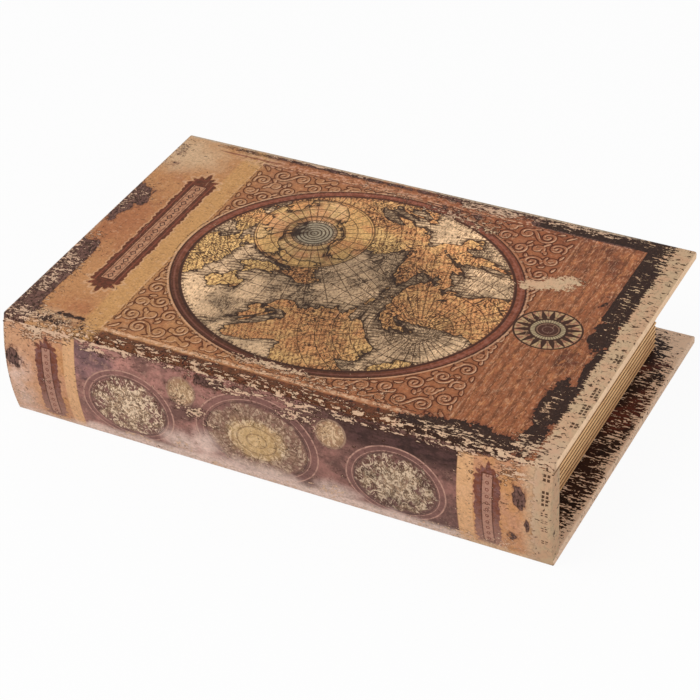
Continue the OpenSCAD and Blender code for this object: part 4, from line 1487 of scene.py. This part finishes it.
class BOOKBOX_OT_base_cover(bpy.types.Operator):
    """Make the base's cloth, with its edges rounded and its margin turned in round the tray"""

    bl_idname = "bookbox.base_cover"
    bl_label = "Base Cover"

    def execute(self, context):
        c = context.scene.book_box.cover
        window = np.array([[FLOOR_LO[0], FLOOR_LO[1]], [FLOOR_HI[0], FLOOR_HI[1]]])
        cover = board_cover(
            "base_cover", 0.0, BASE_TOP, BASE_STEP, c.case_round / MM, BASE_HI[1], window, CLOTH - BOARD_GAP,
            margin_print(c),
        )
        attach(cover, "base")
        points = points_of(cover)
        x, y, z = points.T
        edge = np.minimum(HALF - np.abs(x), BASE_HI[1] - y)
        worn = margin_wear(edge) + blots(x, y, [(126, 80, 10, 16, 0.36), (126, -60, 8, 14, 0.1)])
        # The base's sides are pale between their bottom and top edges: rubbed cloth, and also a painted
        # highlight along those sides
        worn = np.maximum(worn, 0.74 * smooth(3.0 - z, 0.0, 0.6) * smooth(z, 0.3, 1.0))

        # The side under the spine carries on the spine's print
        below = (y < CREASE_Y + 1.1) & (z < BASE_TOP - 0.1)
        spine = spine_fields(points)
        write_fields(cover, {
            "worn": np.where(below, spine["worn"], worn), "burnt": np.where(below, spine["burnt"], 0.0),
            "pale": spine["pale"], "title": np.full(len(points), FAR),
        })
        normals = np.zeros(len(cover.data.polygons) * 3, np.float32)
        cover.data.polygons.foreach_get("normal", normals)
        side = (normals.reshape(-1, 3)[:, 1] < -0.3) & (centres_of(cover)[:, 1] < CREASE_Y + 1.0)
        cover_faces(cover, bpy.data.materials["spine_print"], side)
        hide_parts("base_wrap")
        return {"FINISHED"}


class BOOKBOX_OT_page_edges(bpy.types.Operator):
    """Paint the ribbed page edges"""

    bl_idname = "bookbox.page_edges"
    bl_label = "Page Edges"

    def execute(self, context):
        paint = page_paint(context.scene.book_box.inside)
        for node in ("head_page_edge", "tail_page_edge", "fore_page_edge"):
            dress(node, paint)
        return {"FINISHED"}


class BOOKBOX_OT_inside(bpy.types.Operator):
    """Finish the linings, the floor, the hinge cloth, the boards and the magnets"""

    bl_idname = "bookbox.inside"
    bl_label = "Inside"

    def execute(self, context):
        c = context.scene.book_box.inside
        finishes = {
            plain_paper("lining_paper", c.lining, 0.78):
                ("head_lining", "tail_lining", "fore_lining", "spine_lining", "lid_lining"),
            plain_paper("floor_flock", c.flock, 0.92): ("floor_lining",),
            hinge_weave(context): ("spine_hinge_cloth", "lid_hinge_cloth"),
            fibreboard(c):
                ("base_board", "lid_board", "head_wall", "tail_wall", "fore_edge_wall", "spine_core"),
            nickel_plate(c): ("wall_magnets", "lid_magnets"),
        }
        for material, nodes in finishes.items():
            for node in nodes:
                dress(node, material)
        return {"FINISHED"}


class BOOKBOX_OT_stage(bpy.types.Operator):
    """Set the camera, the lamps and a pale floor"""

    bl_idname = "bookbox.stage"
    bl_label = "Stage"

    def execute(self, context):
        s = context.scene.book_box.stage
        scene = context.scene
        scene.view_settings.view_transform = "Standard"

        lens = bpy.data.cameras.new("camera")
        lens.sensor_width = 36.0
        lens.lens = s.focal_length
        lens.clip_start, lens.clip_end = 0.05, 20.0
        camera = bpy.data.objects.new("camera", lens)
        scene.collection.objects.link(camera)
        at, aim = Vector(s.camera_at), Vector(s.camera_aim)
        facing = (aim - at).to_track_quat("-Z", "Y").to_matrix() @ Matrix.Rotation(s.camera_roll, 3, "Z")
        camera.matrix_world = Matrix.Translation(at) @ facing.to_4x4()
        scene.camera = camera

        def lamp(name, place, size, power):
            """A square soft lamp aimed at the box."""
            light = bpy.data.lights.new(name, "AREA")
            light.energy, light.size = power, size
            holder = bpy.data.objects.new(name, light)
            scene.collection.objects.link(holder)
            turned = (Vector((0, 0, 0.03)) - Vector(place)).to_track_quat("-Z", "Y").to_matrix()
            holder.matrix_world = Matrix.Translation(place) @ turned.to_4x4()

        lamp("key_lamp", (-0.5, -0.7, 1.3), 1.0, s.key_power)
        lamp("fill_lamp", (0.9, -0.9, 0.6), 0.9, s.fill_power)

        floor_mesh = bpy.data.meshes.new("floor")
        far, lie = 3.0, -0.0002
        corners = [(-far, -far, lie), (far, -far, lie), (far, far, lie), (-far, far, lie)]
        floor_mesh.from_pydata(corners, [], [(0, 1, 2, 3)])
        floor = bpy.data.objects.new("floor", floor_mesh)
        scene.collection.objects.link(floor)
        floor_mesh.materials.append(self.floor_finish())
        self.set_sky(scene, s.sky)
        return {"FINISHED"}

    def seen(self, tree):
        """1 for rays that show the background: straight from the camera, in gloss or through glass."""
        path = tree.nodes.new("ShaderNodeLightPath")
        total = path.outputs["Is Camera Ray"]
        for name in ("Is Glossy Ray", "Is Transmission Ray"):
            top = tree.nodes.new("ShaderNodeMath")
            top.operation = "MAXIMUM"
            tree.links.new(total, top.inputs[0])
            tree.links.new(path.outputs[name], top.inputs[1])
            total = top.outputs[0]
        return total

    def floor_finish(self):
        """Pale floor: mostly its own white where it is seen, with a part that takes the box's shadow."""
        material = bpy.data.materials.new("floor")
        material.use_nodes = True
        tree = material.node_tree
        tree.nodes.clear()
        matt = tree.nodes.new("ShaderNodeBsdfDiffuse")
        matt.inputs["Color"].default_value = (0.85, 0.85, 0.85, 1)
        white = tree.nodes.new("ShaderNodeEmission")
        blend = tree.nodes.new("ShaderNodeMixShader")
        share = tree.nodes.new("ShaderNodeMath")
        share.operation = "MULTIPLY"
        share.inputs[1].default_value = 0.93
        tree.links.new(self.seen(tree), share.inputs[0])
        tree.links.new(share.outputs[0], blend.inputs[0])
        tree.links.new(matt.outputs[0], blend.inputs[1])
        tree.links.new(white.outputs[0], blend.inputs[2])
        out = tree.nodes.new("ShaderNodeOutputMaterial")
        tree.links.new(blend.outputs[0], out.inputs["Surface"])
        return material

    def set_sky(self, scene, strength):
        """Even light from all round, and plain white where it is seen."""
        world = bpy.data.worlds.new("sky")
        world.use_nodes = True
        tree = world.node_tree
        tree.nodes.clear()
        seen = self.seen(tree)
        level = tree.nodes.new("ShaderNodeMapRange")
        level.inputs["To Min"].default_value = strength
        level.inputs["To Max"].default_value = 1.0
        tree.links.new(seen, level.inputs["Value"])
        light = tree.nodes.new("ShaderNodeBackground")
        tree.links.new(level.outputs[0], light.inputs["Strength"])
        light.inputs["Color"].default_value = (1, 1, 1, 1)
        out = tree.nodes.new("ShaderNodeOutputWorld")
        tree.links.new(light.outputs[0], out.inputs["Surface"])
        scene.world = world


class BOOKBOX_PT_panel(bpy.types.Panel):
    """The book box's pieces and settings"""

    bl_idname = "BOOKBOX_PT_panel"
    bl_label = "Book Box"
    bl_space_type = "VIEW_3D"
    bl_region_type = "UI"
    bl_category = "Book Box"

    def draw(self, context):
        column = self.layout.column(align=True)
        for operator in OPERATORS:
            column.operator(operator.bl_idname)
        settings = context.scene.book_box
        groups = (("Cover", settings.cover), ("Inside", settings.inside), ("Stage", settings.stage))
        for title, group in groups:
            box = self.layout.box()
            box.label(text=title)
            for name in group.bl_rna.properties.keys():
                if name not in ("rna_type", "name"):
                    box.prop(group, name)


OPERATORS = (
    BOOKBOX_OT_stage,
    BOOKBOX_OT_lid_cover,
    BOOKBOX_OT_spine_cover,
    BOOKBOX_OT_base_cover,
    BOOKBOX_OT_page_edges,
    BOOKBOX_OT_inside,
)
CLASSES = (BookBoxCover, BookBoxInside, BookBoxStage, BookBoxSettings, *OPERATORS, BOOKBOX_PT_panel)


def register():
    for item in CLASSES:
        bpy.utils.register_class(item)
    bpy.types.Scene.book_box = PointerProperty(type=BookBoxSettings)


def unregister():
    del bpy.types.Scene.book_box
    for item in reversed(CLASSES):
        bpy.utils.unregister_class(item)


def main():
    register()
    bpy.ops.bookbox.stage()
    bpy.ops.bookbox.lid_cover()
    bpy.ops.bookbox.spine_cover()
    bpy.ops.bookbox.base_cover()
    bpy.ops.bookbox.page_edges()
    bpy.ops.bookbox.inside()


if __name__ == "__main__":
    main()
